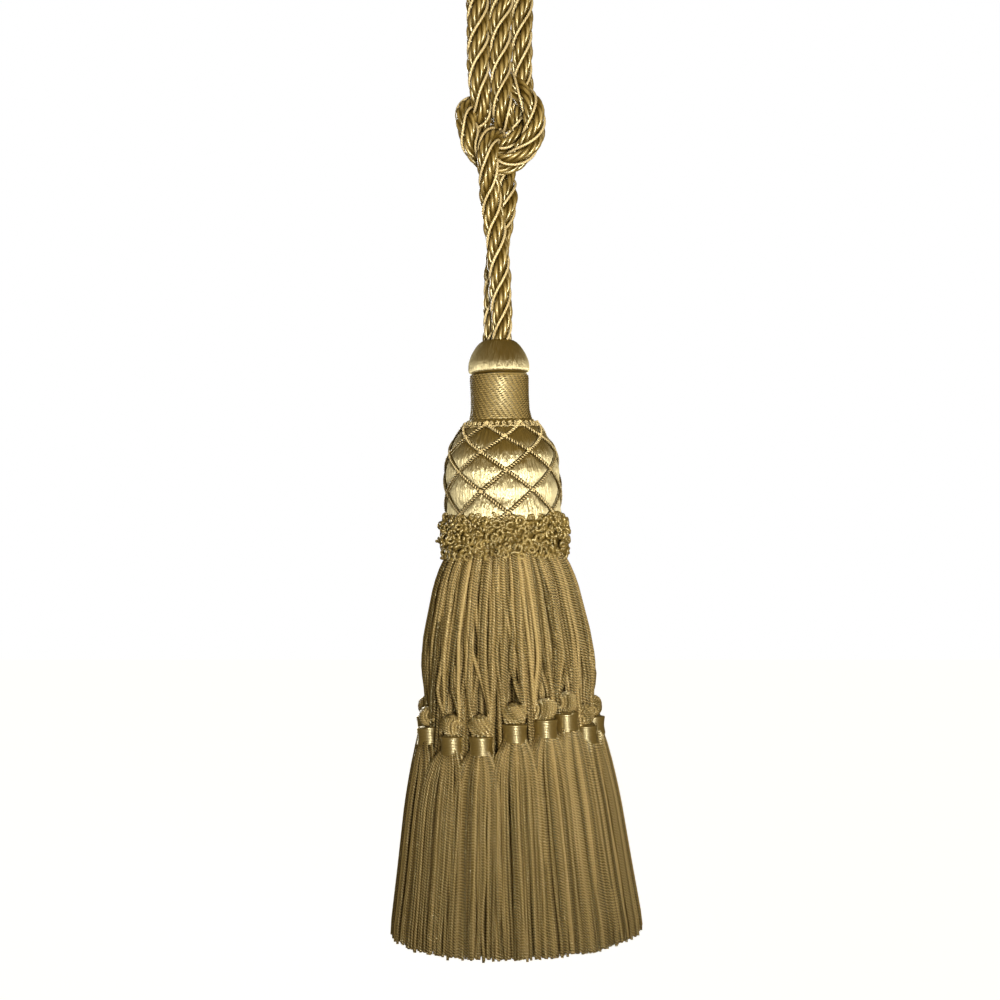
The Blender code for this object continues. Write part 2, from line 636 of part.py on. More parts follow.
def hanger_tuft(number, degrees, band, room, material, parts):
    """A hanger's wound band with its own short fringe, drawn out of the band's underside."""
    bm = bmesh.new()
    middle = facing(degrees, envelope(band) - HANGER_DEPTH, band)
    columns, rows = TUFT_ACROSS + 1, TUFT_DEEP + 1

    def bed(height, radius):
        made = []
        for j in range(rows):
            for i in range(columns):
                x, y = 2 * i / TUFT_ACROSS - 1, 2 * j / TUFT_DEEP - 1
                reach = max(abs(x), abs(y)) / math.hypot(x, y) if (x or y) else 0
                x, y = x * reach * radius, y * reach * radius
                made.append(bm.verts.new(middle + facing(degrees + 90, x, 0)
                                         + facing(degrees, y, 0) + Vector((0, 0, height))))
        return made

    half = BAND_HEIGHT / 2
    levels = [bed(half, BAND_RADIUS), bed(-half, BAND_RADIUS)]
    edge = ([i for i in range(columns)] + [columns * (j + 1) - 1 for j in range(1, rows)]
            + [columns * rows - 1 - i for i in range(1, columns)]
            + [columns * (rows - 1 - j) for j in range(1, rows - 1)])
    rim = []
    for v in edge:
        a, b = levels[0][v].co, levels[1][v].co
        out = (a + b) / 2
        flat = out - middle
        rim.append(bm.verts.new(middle + flat * (BAND_WAIST / BAND_RADIUS)))
    for k, v in enumerate(edge):
        w, n = edge[(k + 1) % len(edge)], (k + 1) % len(edge)
        bm.faces.new((levels[0][v], levels[0][w], rim[n], rim[k]))
        bm.faces.new((rim[k], rim[n], levels[1][w], levels[1][v]))
    beds = []
    for side in (0, 1):
        for j in range(TUFT_DEEP):
            for i in range(TUFT_ACROSS):
                a = j * columns + i
                face = bm.faces.new([levels[side][v] for v in (a, a + 1, a + 1 + columns, a + columns)])
                if side:
                    beds.append((face, i, j))
    bmesh.ops.recalc_face_normals(bm, faces=bm.faces)
    root_gap = 2 * BAND_RADIUS / TUFT_ACROSS
    for face, i, j in beds:
        column = i - (TUFT_ACROSS - 1) / 2
        share = (column + (TUFT_STAGGER if j == 0 else -TUFT_STAGGER)) / TUFT_ACROSS
        foot = FOOT + RAGGED * scatter(number, i, j)
        sector = math.radians(room[1] if share > 0 else room[0]) * envelope(foot)
        stations = []
        for below in (band + TUFT_BEND, foot):
            spread = (below - band) / (foot - band)
            offset = column * root_gap + (share * 2 * TUFT_SPREAD * sector - column * root_gap) * spread
            radius = envelope(below) - (TUFT_REAR if j == 0 else TUFT_FRONT)
            turn = degrees + math.degrees(offset / radius)
            wide = TUFT_ROOT + (TUFT_FOOT - TUFT_ROOT) * spread
            stations.append((facing(turn, radius, below), turn, wide, TUFT_THICK))
        pull_strand(bm, face, stations)
    return to_object(f"hanger_tuft_{number:02d}", bm, material, parts, 60)


def main():
    clear_scene()
    parts = collection("curtain_tieback_tassel")
    guides = collection("guides")
    top = bpy.data.objects.new("tassel_top", None)
    top.location = Vector(TASSEL_AT) * MM
    top.rotation_euler = Euler((0, -math.radians(LEAN_DEG), 0))
    parts.objects.link(top)

    outline = ply_outline(guides)
    endless = (UP_THE_RIGHT + hook_loop(LOOP_REAR) + DOWN_AND_ROUND_THE_KNOT
               + hook_loop(LOOP_FRONT) + DOWN_THE_LEFT)
    rope("tieback_rope", endless, outline, thread_material("rope_yarn", GOLD, 0.45), parts)
    rope("tassel_cord", TASSEL_CORD, outline, thread_material("cord_yarn", GOLD, 0.45), parts)
    turned("cap", CAP, thread_material("cap_satin", PALE_GOLD, 0.35), parts)
    turned("neck_winding", NECK, thread_material("neck_cord", GOLD, 0.45), parts)
    bulb(thread_material("bulb_floss", PALE_GOLD, 0.3), parts)
    net(thread_material("net_cord", DEEP_GOLD, 0.55), parts)
    collar(thread_material("ruff_loops", DEEP_GOLD, 0.6), parts)
    skirt(thread_material("skirt_cord", GOLD, 0.5), parts)

    knot_yarn = thread_material("hanger_knot_yarn", DEEP_GOLD, 0.6)
    band_silk = thread_material("hanger_band_silk", PALE_GOLD, 0.35)
    ways = [h[0] for h in HANGERS]
    for number, (degrees, band) in enumerate(HANGERS, 1):
        gaps = [(w - degrees) % 360 for w in ways if w != degrees]
        room = ((360 - max(gaps)) / 2, min(gaps) / 2)
        hanger_knot(number, degrees, band, knot_yarn, parts)
        hanger_tuft(number, degrees, band, room, band_silk, parts)


main()
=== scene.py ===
# %% [markdown]
# # A curtain tieback tassel
# A rope tieback, knotted through the doubled cord of a big tassel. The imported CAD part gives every
# piece its place and size. This lesson dresses it in yarn: laid rope, wound cord, satin floss, a
# knotted net, a ruff of loops, and a long fringe with small tassels tied into it.

# %% Load the frame
import math

import bpy
import numpy as np
from mathutils import Euler, Matrix, Vector


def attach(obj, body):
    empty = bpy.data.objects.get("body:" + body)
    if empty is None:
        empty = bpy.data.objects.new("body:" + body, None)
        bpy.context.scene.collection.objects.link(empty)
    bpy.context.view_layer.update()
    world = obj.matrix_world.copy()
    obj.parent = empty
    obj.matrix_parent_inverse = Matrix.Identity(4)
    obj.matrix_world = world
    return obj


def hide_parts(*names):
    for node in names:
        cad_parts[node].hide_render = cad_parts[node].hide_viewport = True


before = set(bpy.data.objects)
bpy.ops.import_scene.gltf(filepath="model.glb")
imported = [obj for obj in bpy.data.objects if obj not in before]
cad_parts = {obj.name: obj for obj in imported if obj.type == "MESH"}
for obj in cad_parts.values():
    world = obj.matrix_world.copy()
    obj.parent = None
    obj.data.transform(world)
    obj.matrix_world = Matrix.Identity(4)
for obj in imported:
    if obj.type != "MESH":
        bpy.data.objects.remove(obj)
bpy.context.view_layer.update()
print("CAD nodes:", len(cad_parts))

# %% [markdown]
# ## Camera
# The tassel hangs at arm's length and is seen level, from straight in front. A lens is chosen by
# what it has to span at the object's distance: sensor width times distance over that span.

# %% Camera
VIEW_DISTANCE = 0.85
VIEW_HEIGHT = -0.2875
VIEW_SPAN = 0.475
SENSOR = 36

bpy.ops.object.camera_add(
    location=(0, -VIEW_DISTANCE, VIEW_HEIGHT), rotation=(math.pi / 2, 0, 0)
)
camera = bpy.context.object
camera.data.sensor_width = SENSOR
camera.data.lens = SENSOR * VIEW_DISTANCE / VIEW_SPAN
bpy.context.scene.camera = camera
bpy.context.scene.view_settings.view_transform = "Standard"
print("lens, mm:", round(camera.data.lens, 1))

# %% [markdown]
# ## Strands
# Nearly everything here is yarn: a tube along a curve. One tube could be a Bezier curve with a round
# bevel, but there are over two thousand, so numpy works out all their rings at once and writes them
# into one mesh. Each tube keeps a UV map, u once round it and v in millimetres along it, so that its
# material can draw fibres that follow it. It also keeps a tone: cords differ a little from one
# another at random, and on the rope, the neck and the net the tone also holds painted shade in a
# cord's hollows and a painted highlight on its crowns.

# %% Curves and their frames
MM = 0.001
STEEP = 0.9  # a curve that starts steeper than this takes its first direction from the x axis


def lengths(paths):
    """How far along each curve its points lie. Curves come as an array: curve, point, xyz."""
    steps = np.linalg.norm(np.diff(paths, axis=1), axis=2)
    return np.concatenate([np.zeros((len(paths), 1)), np.cumsum(steps, axis=1)], axis=1)


def unit(v):
    return v / np.maximum(np.linalg.norm(v, axis=-1, keepdims=True), 1e-12)


def frames(paths):
    """Two directions across each curve that follow its bends but never twist about it."""
    ahead = unit(np.gradient(paths, axis=1))
    steep = np.abs(ahead[:, :1, 2:]) >= STEEP
    helper = np.where(steep, [[[1.0, 0.0, 0.0]]], [[[0.0, 0.0, 1.0]]])
    across = [unit(np.cross(ahead[:, 0], helper[:, 0]))]
    for i in range(1, paths.shape[1]):
        last, way = across[-1], ahead[:, i]
        across.append(unit(last - way * np.sum(last * way, axis=1, keepdims=True)))
    across = np.stack(across, axis=1)
    return across, np.cross(ahead, across)


def laid(paths, count, radius, pitch=None, start=0.0, turns=None):
    """Strands that wind round each curve. With a positive pitch they lean like a Z's stroke."""
    across, up = frames(paths)
    turns = lengths(paths) / pitch if turns is None else turns
    turn = 2 * np.pi * (turns[..., None] + np.arange(count) / count) + start
    radius = np.broadcast_to(np.asarray(radius, float), paths.shape[:2])[..., None, None]
    out = radius * (
        np.cos(turn)[..., None] * across[:, :, None] + np.sin(turn)[..., None] * up[:, :, None]
    )
    made = paths[:, :, None] + out
    return made.transpose(0, 2, 1, 3).reshape(-1, paths.shape[1], 3)


print("a laid pair:", laid(np.linspace([[0, 0, 0]], [[0, 0, 9]], 10, axis=1), 2, 1, 9).shape)

# %% A mesh from arrays


def add_mesh(name, points, faces, sizes, uvs, material, shades=None):
    """A mesh from flat arrays, in metres. faces is every corner in turn and sizes how many of
    them each face has."""
    mesh = bpy.data.meshes.new(name)
    mesh.vertices.add(len(points))
    mesh.vertices.foreach_set("co", np.ascontiguousarray(points, np.float32).ravel())
    mesh.loops.add(len(faces))
    mesh.loops.foreach_set("vertex_index", faces.astype(np.int32))
    mesh.polygons.add(len(sizes))
    starts = np.concatenate([[0], np.cumsum(sizes)[:-1]])
    mesh.polygons.foreach_set("loop_start", starts.astype(np.int32))
    mesh.update(calc_edges=True)
    layer = mesh.uv_layers.new(name="UVMap")
    layer.uv.foreach_set("vector", np.ascontiguousarray(uvs, np.float32).ravel())
    if shades is not None:
        tone = mesh.attributes.new("tone", "FLOAT", "POINT")
        tone.data.foreach_set("value", shades.astype(np.float32))
    mesh.validate()
    mesh.shade_smooth()
    mesh.materials.append(material)
    piece = bpy.data.objects.new(name, mesh)
    bpy.context.scene.collection.objects.link(piece)
    return piece


# %% Tubes in one mesh
TONE_SPREAD = 0.35  # how far tubes differ in tone
START_SPREAD = 9  # mm of pattern over which tubes start, so that neighbours don't line up


def lit(away, start, over):
    """A height as painted light: -1 is painted shade in the hollows, 1 a painted highlight on the
    crowns, and 0 where the crowns start.
    """
    return np.clip((away - start) / over, -1, 1)


def tubes(name, groups, sides, material, height=None):
    """Closed tubes in one mesh. A group is (curves in millimetres, radius). height gives every point
    painted light from its coordinates, painted shade in the hollows and a painted highlight on the
    crowns, and then the tubes' random tones differ half as much."""
    points, faces, sizes, uvs, shades = [], [], [], [], []
    base = 0
    turn = 2 * np.pi * np.arange(sides) / sides
    seed = np.random.default_rng(len(name) + sides)
    for paths, radius in groups:
        n, k = paths.shape[:2]
        across, up = frames(paths)
        radius = np.broadcast_to(np.asarray(radius, float), (n, k))[..., None, None]
        ring = paths[:, :, None] + radius * (
            np.cos(turn)[:, None] * across[:, :, None] + np.sin(turn)[:, None] * up[:, :, None]
        )
        points.append(ring.reshape(-1, 3) * MM)
        index = base + np.arange(n * k * sides).reshape(n, k, sides)
        after = np.roll(index, -1, axis=2)
        quads = np.stack([index[:, :-1], after[:, :-1], after[:, 1:], index[:, 1:]], axis=-1)
        faces += [quads.reshape(-1), index[:, 0, ::-1].reshape(-1), index[:, -1].reshape(-1)]
        sizes.append(np.concatenate([np.full(n * (k - 1) * sides, 4), np.full(2 * n, sides)]))
        shift = 1 / sides
        u = np.broadcast_to(np.arange(sides) / sides, (n, k - 1, sides))
        v = lengths(paths) + seed.uniform(0, START_SPREAD, (n, 1))
        v = np.broadcast_to(v[..., None], (n, k, sides))
        corners = [(u, v[:, :-1]), (u + shift, v[:, :-1]), (u + shift, v[:, 1:]), (u, v[:, 1:])]
        uvs.append(np.stack([np.stack(c, axis=-1) for c in corners], axis=-2).reshape(-1, 2))
        uvs.append(np.zeros((2 * n * sides, 2)))
        tone = np.repeat(seed.normal(0, TONE_SPREAD, n), k * sides)
        # Painted light: with a height, points that stand out get a painted highlight and points in
        # the hollows painted shade.
        if height is not None:
            tone = 0.5 * tone + height(ring).reshape(-1)
        shades.append(np.clip(tone, -1, 1))
        base += n * k * sides
    piece = add_mesh(
        name, np.concatenate(points), np.concatenate(faces), np.concatenate(sizes),
        np.concatenate(uvs), material, np.concatenate(shades),
    )
    print(name, "faces:", len(piece.data.polygons))
    return piece


# %% [markdown]
# ## Yarn and silk
# Rayon and silk yarns are olive gold in the shade and almost cream where they catch the light. That
# is a dark base colour under a strong, tinted gloss: a high index of refraction and a gold specular
# tint, and on top of it a painted highlight and painted shade. What differs from yarn to yarn is
# relief, so two node groups draw it from the UV map: one the crowns of a twisted cord, one its fine
# fibres. Both also colour the yarn: the fibres in random streaks, and the twist with a painted
# highlight on the crowns and painted shade in the grooves. The tubes' tone is added to that.

# %% Node helpers


def new_group(name, inputs, outputs):
    """An empty node group with float sockets: names and starting values."""
    group = bpy.data.node_groups.new(name, "ShaderNodeTree")
    for socket, value in inputs:
        made = group.interface.new_socket(socket, in_out="INPUT", socket_type="NodeSocketFloat")
        made.default_value = value
    for socket in outputs:
        group.interface.new_socket(socket, in_out="OUTPUT", socket_type="NodeSocketFloat")
    return group, group.nodes.new("NodeGroupInput"), group.nodes.new("NodeGroupOutput")


def maths(tree, operation, *values):
    """A Math node fed with sockets or numbers; gives its result socket."""
    node = tree.nodes.new("ShaderNodeMath")
    node.operation = operation
    for socket, value in zip(node.inputs, values):
        if isinstance(value, (int, float)):
            socket.default_value = value
        else:
            tree.links.new(value, socket)
    return node.outputs[0]


# %% The twist of a cord
twist, given, result = new_group("cord twist", [("Plies", 2.0), ("Lay mm", 2.0)], ["Crown"])
uv = twist.nodes.new("ShaderNodeUVMap")
split = twist.nodes.new("ShaderNodeSeparateXYZ")
twist.links.new(uv.outputs[0], split.inputs[0])
along = maths(twist, "DIVIDE", split.outputs[1], given.outputs["Lay mm"])
turn = maths(twist, "ADD", split.outputs[0], along)
phase = maths(twist, "MULTIPLY", turn, given.outputs["Plies"])
wave = maths(twist, "SINE", maths(twist, "MULTIPLY", phase, math.pi))
# Crown is the twist's relief and also a painted highlight on its crowns, with painted shade in its
# grooves.
twist.links.new(maths(twist, "MULTIPLY", wave, wave), result.inputs["Crown"])
print("cord twist nodes:", len(twist.nodes))

# %% The fibres of a yarn
fibres, given, result = new_group("floss fibres", [("Across", 60.0), ("Along", 0.2)], ["Fibre"])
FIBRE_DETAIL = 3.0
uv = fibres.nodes.new("ShaderNodeUVMap")
split = fibres.nodes.new("ShaderNodeSeparateXYZ")
joined = fibres.nodes.new("ShaderNodeCombineXYZ")
fibres.links.new(uv.outputs[0], split.inputs[0])
for axis, often in enumerate(("Across", "Along")):
    scaled = maths(fibres, "MULTIPLY", split.outputs[axis], given.outputs[often])
    fibres.links.new(scaled, joined.inputs[axis])
noise = fibres.nodes.new("ShaderNodeTexNoise")
noise.inputs["Scale"].default_value = 1.0
noise.inputs["Detail"].default_value = FIBRE_DETAIL
fibres.links.new(joined.outputs[0], noise.inputs["Vector"])
fibres.links.new(noise.outputs[0], result.inputs["Fibre"])
print("fibre nodes:", len(fibres.nodes))

# %% The yarn material
SHADE = (0.065, 0.037, 0.004, 1)
LIT = (0.28, 0.183, 0.042, 1)
TINT = (1.0, 0.86, 0.48, 1)
PATTERN_SHARE = 0.7  # of the colour that a pattern decides; what lies under it decides the rest


def yarn(name, dark=SHADE, light=LIT, roughness=0.36, index=1.9, crown=None, fibre=None,
         relief=0.1, fine=0.03, bright=0.5, aniso=0.0, depth_shade=0.35):
    """A dyed yarn with painted light. crown is (plies, lay in mm) of its twist, whose crowns get a
    painted highlight and grooves painted shade, and fibre is (across, along); relief and fine are
    their heights in mm. bright sets the colour between the patterns, from dark, 0, to light, 1, and
    depth_shade is how far the tubes' tone shifts it, with its random differences and any painted
    shade and highlight."""
    made = bpy.data.materials.new(name)
    made.use_nodes = True
    tree = made.node_tree
    shader = tree.nodes["Principled BSDF"]
    shader.inputs["Roughness"].default_value = roughness
    shader.inputs["IOR"].default_value = index
    shader.inputs["Specular Tint"].default_value = TINT
    shader.inputs["Anisotropic"].default_value = aniso
    mask, normal = bright, None
    tone = tree.nodes.new("ShaderNodeAttribute")
    tone.attribute_name = "tone"
    for group, values, depth in ((fibres, fibre, fine), (twist, crown, relief)):
        if values is None:
            continue
        node = tree.nodes.new("ShaderNodeGroup")
        node.node_tree = group
        node.inputs[0].default_value, node.inputs[1].default_value = values
        bump = tree.nodes.new("ShaderNodeBump")
        bump.inputs["Distance"].default_value = depth * MM
        tree.links.new(node.outputs[0], bump.inputs["Height"])
        if normal is not None:
            tree.links.new(normal, bump.inputs["Normal"])
        normal = bump.outputs[0]
        # The pattern paints colour: the twist's crowns get a painted highlight and its grooves
        # painted shade, the fibres get random streaks.
        under = maths(tree, "MULTIPLY", mask, 1 - PATTERN_SHARE)
        mask = maths(tree, "MULTIPLY_ADD", node.outputs[0], PATTERN_SHARE, under)
    if normal is not None:
        tree.links.new(normal, shader.inputs["Normal"])
    # The tubes' tone adds random differences and, where a piece has a height, painted shade in its
    # hollows and a painted highlight on its crowns.
    mask = maths(tree, "MULTIPLY_ADD", tone.outputs["Fac"], depth_shade, mask)
    mask = maths(tree, "MINIMUM", maths(tree, "MAXIMUM", mask, 0.0), 1.0)
    mix = tree.nodes.new("ShaderNodeMix")
    mix.data_type = "RGBA"
    mix.inputs["A"].default_value = dark
    mix.inputs["B"].default_value = light
    tree.links.new(mask, mix.inputs["Factor"])
    tree.links.new(mix.outputs["Result"], shader.inputs["Base Color"])
    print(name, "nodes:", len(tree.nodes))
    return made


# %% [markdown]
# ## The rope
# A tieback rope is laid three times over: fibres are spun into yarns, four yarns are twisted into
# a ply one way, and three plies are laid together the other way, which keeps the rope from
# untwisting. A fine bright gimp runs in each groove. The same helper makes every step: wind the
# plies round the rope's middle line, then the yarns round each ply. The tieback is one endless
# rope, so its route starts and ends in the knot. It can be drawn with a smooth curve through
# rows of across, depth, height and radius: sixty-one of them and the two loops over the hook.

# %% Routes of the two cords
UP_THE_RIGHT = (
    (-3.0, 4.5, -123.2, 4.3), (2.8, 3.8, -121.3, 4.3), (6.8, 3.9, -116.2, 4.3),
    (9.3, 5.2, -110.5, 4.3), (10.2, 6.5, -104.5, 4.3), (10.5, 7.8, -98.4, 4.4),
    (11.0, 8.9, -92.3, 4.4), (10.8, 8.6, -86.1, 4.5), (10.5, 7.7, -80.0, 4.6),
    (10.3, 6.8, -73.8, 4.8), (10.3, 6.1, -58.8, 4.9), (10.9, 5.9, -43.9, 5.0),
    (12.0, 5.7, -28.9, 5.0),
)
DOWN_AND_ROUND_THE_KNOT = (
    (-10.6, 5.7, -23.9, 5.0), (-3.6, 6.0, -36.9, 5.0), (-0.6, 5.8, -51.1, 4.9),
    (-1.4, 5.9, -66.1, 4.9), (-0.6, 4.8, -80.9, 4.8), (2.4, 3.3, -86.4, 4.6),
    (6.6, 0.9, -91.0, 4.4), (10.7, -1.3, -95.1, 4.4), (14.3, -3.3, -99.7, 4.7),
    (16.2, -4.7, -105.4, 4.8), (16.3, -5.2, -111.5, 4.9), (14.7, -5.2, -117.5, 4.9),
    (11.5, -4.9, -122.8, 4.8), (7.0, -4.6, -126.9, 4.6), (1.3, -4.1, -129.1, 4.4),
    (-4.7, -3.5, -127.8, 4.3), (-9.9, -3.3, -124.3, 4.3), (-13.5, -3.7, -119.3, 4.3),
    (-14.7, -4.0, -113.3, 4.4), (-16.2, -2.6, -107.4, 4.3), (-16.0, 1.3, -102.3, 4.3),
    (-13.2, 5.6, -99.2, 4.3), (-8.3, 9.1, -98.4, 4.5), (-3.0, 8.9, -101.2, 4.5),
    (0.8, 4.4, -105.6, 4.3), (1.8, -1.2, -108.4, 4.3), (1.5, -5.9, -107.9, 4.3),
    (1.1, -8.5, -103.3, 4.4), (0.7, -7.6, -95.6, 4.4), (0.4, -6.6, -88.8, 4.4),
    (0.4, -5.9, -82.6, 4.6), (0.4, -5.5, -76.5, 4.8), (0.0, -5.1, -61.6, 5.0),
    (2.3, -5.0, -46.9, 5.0), (8.5, -4.9, -33.3, 5.0),
)
DOWN_THE_LEFT = (
    (-12.2, -4.9, -19.1, 5.0), (-11.4, -4.9, -34.1, 5.0), (-10.7, -4.9, -49.1, 5.0),
    (-10.3, -4.7, -64.1, 5.0), (-10.3, -4.9, -79.1, 5.0), (-10.1, -5.3, -85.3, 4.9),
    (-9.7, -5.4, -91.5, 4.9), (-8.9, -4.7, -97.5, 4.6), (-8.2, -2.1, -103.1, 4.3),
    (-9.5, 1.9, -107.5, 4.3), (-11.7, 4.5, -113.0, 4.3), (-9.8, 5.3, -118.6, 4.3),
    (-6.8, 5.0, -121.6, 4.3),
)
TASSEL_CORD = (
    (0.5, -4.1, -216.8, 4.2), (0.7, -4.1, -212.3, 4.3), (0.9, -4.4, -204.4, 4.5),
    (0.3, -4.9, -191.9, 4.8), (-0.3, -5.1, -179.4, 4.9), (-1.3, -5.1, -166.9, 4.9),
    (-3.0, -4.9, -154.6, 4.9), (-4.6, -7.4, -142.5, 4.8), (-5.2, -9.9, -136.8, 4.6),
    (-5.6, -12.2, -131.1, 4.4), (-5.8, -12.6, -125.0, 4.4), (-5.2, -9.6, -119.6, 4.3),
    (-4.4, -4.5, -116.2, 4.3), (-2.7, 1.2, -114.1, 4.3), (-1.8, 7.4, -113.8, 4.3),
    (-0.1, 12.0, -117.7, 4.3), (1.4, 13.2, -123.6, 4.3), (2.4, 12.0, -129.7, 4.5),
    (2.9, 9.8, -135.4, 4.7), (3.1, 7.1, -141.0, 4.8), (2.7, 5.4, -147.0, 4.9),
    (0.4, 5.1, -159.2, 4.9), (-1.5, 5.1, -171.6, 4.9), (-2.5, 5.0, -184.0, 4.9),
    (-2.8, 4.7, -196.5, 4.7), (-3.4, 4.1, -212.3, 4.3), (-3.1, 4.1, -216.8, 4.2),
)
tieback_rows = UP_THE_RIGHT + DOWN_AND_ROUND_THE_KNOT + DOWN_THE_LEFT
print("rows of the tieback:", len(tieback_rows), "and of the tassel's cord:", len(TASSEL_CORD))

# %% A loop over the hook, and a smooth curve through the rows
LOOP_RADIUS = 11.6
LOOP_FRONT = -5.0
LOOP_REAR = 5.4
LOOP_ROWS = 7
ROPE_RADIUS = 5.0
ROPE_STEP = 1.4
ROW_STEPS = 12  # points worked out from one row to the next, before they are spaced evenly


def hook_loop(depth):
    """The rope's half turn over the hook, from right to left."""
    ways = np.radians(np.linspace(0, 180, LOOP_ROWS))
    across = np.cos(ways) * LOOP_RADIUS
    height = ROPE_RADIUS - LOOP_RADIUS + np.sin(ways) * LOOP_RADIUS
    return tuple((x, depth, z, ROPE_RADIUS) for x, z in zip(across, height))


def smooth_route(rows, step):
    """Evenly spaced points on a smooth curve through the rows, and the radius at each."""
    rows = np.array(rows)
    ends = np.vstack([2 * rows[0] - rows[1], rows, 2 * rows[-1] - rows[-2]])
    share = np.linspace(0, 1, ROW_STEPS, endpoint=False)[:, None]
    fine = []
    for p0, p1, p2, p3 in zip(ends, ends[1:], ends[2:], ends[3:]):
        t1, t2, t3 = np.cumsum([
            math.sqrt(np.linalg.norm((b - a)[:3])) for a, b in ((p0, p1), (p1, p2), (p2, p3))
        ])
        t = t1 + (t2 - t1) * share
        a1 = p0 + (p1 - p0) * t / t1
        a2 = p1 + (p2 - p1) * (t - t1) / (t2 - t1)
        a3 = p2 + (p3 - p2) * (t - t2) / (t3 - t2)
        b1 = a1 + (a2 - a1) * t / t2
        b2 = a2 + (a3 - a2) * (t - t1) / (t3 - t1)
        fine.append(b1 + (b2 - b1) * (t - t1) / (t2 - t1))
    fine = np.vstack([*fine, rows[-1:]])
    reach = lengths(fine[None, :, :3])[0]
    even = np.linspace(0, reach[-1], round(reach[-1] / step))
    even = np.stack([np.interp(even, reach, fine[:, c]) for c in range(4)], axis=1)
    return even[None, :, :3], even[None, :, 3], reach[-1]


# %% Lay the rope
ROPE_LAY = 46.0
YARN_LAY = -24.0  # the other way
FULLNESS = 1.16  # soft yarn stands a little proud of the rope's nominal size
KNOT_RADIUS = 4.6  # soft strands press into each other in the knot, they do not get thinner
KNOT_FOOT = -150.0
PLY_OUT = 0.536  # a ply's middle from the rope's, as a share of its radius
YARN_OUT = 0.272
YARN_THICK = 0.192
GIMP_OUT = 0.82
GIMP_THICK = 0.12
ROPE_PLIES = 3
PLY_YARNS = 4
LIT_FROM = 0.91  # as a share of the radius: yarn farther out is lit and yarn nearer is shaded
LIT_OVER = 0.08

# The rope yarn's light colour is a painted highlight on the outermost yarns and its dark one painted
# shade on those further in, besides the fibres' streaks.
rope_yarn = yarn(
    "rope yarn", dark=(0.055, 0.03, 0.002, 1), light=(0.25, 0.165, 0.045, 1), roughness=0.34,
    index=2.1, fibre=(14.0, 0.5), fine=0.05, bright=0.1, depth_shade=0.6,
)
# The gimp is a lighter cord; its twist adds a painted highlight on its crowns and painted shade in
# its grooves.
gimp_yarn = yarn(
    "bright gimp", dark=(0.32, 0.22, 0.08, 1), light=(0.54, 0.42, 0.21, 1), roughness=0.35,
    index=2.0, crown=(2, 3.0),
)


def rope(name, rows):
    """A rope and its gimp along the rows. It prints the rope's length."""
    middle, radius, length = smooth_route(rows, ROPE_STEP)
    knotted = middle[..., 2] > KNOT_FOOT
    radius = np.where(knotted, np.maximum(radius, KNOT_RADIUS), radius) * FULLNESS
    plies = laid(middle, ROPE_PLIES, radius * PLY_OUT, ROPE_LAY)
    at_plies = np.repeat(radius, ROPE_PLIES, axis=0)
    yarns = laid(plies, PLY_YARNS, at_plies * YARN_OUT, YARN_LAY)
    at_yarns = np.repeat(radius, ROPE_PLIES * PLY_YARNS, axis=0)
    gimps = laid(middle, ROPE_PLIES, radius * GIMP_OUT, ROPE_LAY, math.pi / ROPE_PLIES)

    # Painted light: a painted highlight on yarn at the rope's outside, painted shade on yarn further
    # in.
    def painted_rope_light(ring):
        away = np.linalg.norm(ring - middle[:, :, None], axis=3) / radius[:, :, None]
        return lit(away, LIT_FROM, LIT_OVER)

    piece = tubes(name, [(yarns, at_yarns * YARN_THICK)], 8, rope_yarn, painted_rope_light)
    bright = tubes(name + "_gimp", [(gimps, at_plies * GIMP_THICK)], 6, gimp_yarn)
    for made in (piece, bright):
        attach(made, "root")
    print(name, "length, mm:", round(length))
    return piece


# %% The tieback and the tassel's cord
endless = (
    UP_THE_RIGHT + hook_loop(LOOP_REAR) + DOWN_AND_ROUND_THE_KNOT
    + hook_loop(LOOP_FRONT) + DOWN_THE_LEFT
)
tieback = rope("laid_tieback_rope", endless)
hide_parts("tieback_rope")
doubled = rope("laid_tassel_cord", TASSEL_CORD)
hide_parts("tassel_cord")

# %% [markdown]
# ## The tassel's own axis
# The tassel does not hang quite straight. Its pieces are worked out on an upright axis, with the
# cap's top at zero, and tilted into place at the end, so that turned shapes stay simple.

# %% The axis and some helpers
TASSEL_AT = (-0.95, 0.0, -212.0)
LEAN = math.radians(1.8)
tilt = np.array(Euler((0, -LEAN, 0)).to_matrix())
SEED = 7
draw = np.random.default_rng(SEED)


def hung(points):
    """From the upright axis to where the tassel hangs, in millimetres."""
    return points @ tilt.T + np.array(TASSEL_AT)


def facing(degrees, radius, below):
    """Points this way round from the front, this far out and this far below the cap's top."""
    a = np.radians(degrees)
    return np.stack(np.broadcast_arrays(radius * np.sin(a), -radius * np.cos(a), -below), axis=-1)


def directions(degrees):
    """Sideways, outwards and down, this way round from the front."""
    return facing(degrees + 90, 1, 0), facing(degrees, 1, 0), np.array((0, 0, -1.0))


def ease(t):
    """0 to 1 with a soft start and end."""
    t = np.clip(t, 0, 1)
    return t * t * (3 - 2 * t)


def hang_up(*pieces):
    """Tilts finished meshes from the upright axis into place."""
    place = Matrix.Translation([c * MM for c in TASSEL_AT]) @ Matrix.Rotation(-LEAN, 4, "Y")
    for piece in pieces:
        piece.data.transform(place)


def finish_piece(piece, slot, *nodes):
    """Fixes a piece to the part and hides the CAD nodes that it replaces. slot is not used."""
    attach(piece, "root")
    if nodes:
        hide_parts(*nodes)


print("the cap's top, mm:", hung(facing(0, 0, 0)))

# %% [markdown]
# ## Satin floss
# The cap and the bulb are turned wood covered with untwisted silk floss that runs up and down.
# Floss scatters light sideways, across its fibres, so each piece has one bright band round it
# and is dark above and below. In Cycles that is strong anisotropy with a tangent round the axis.

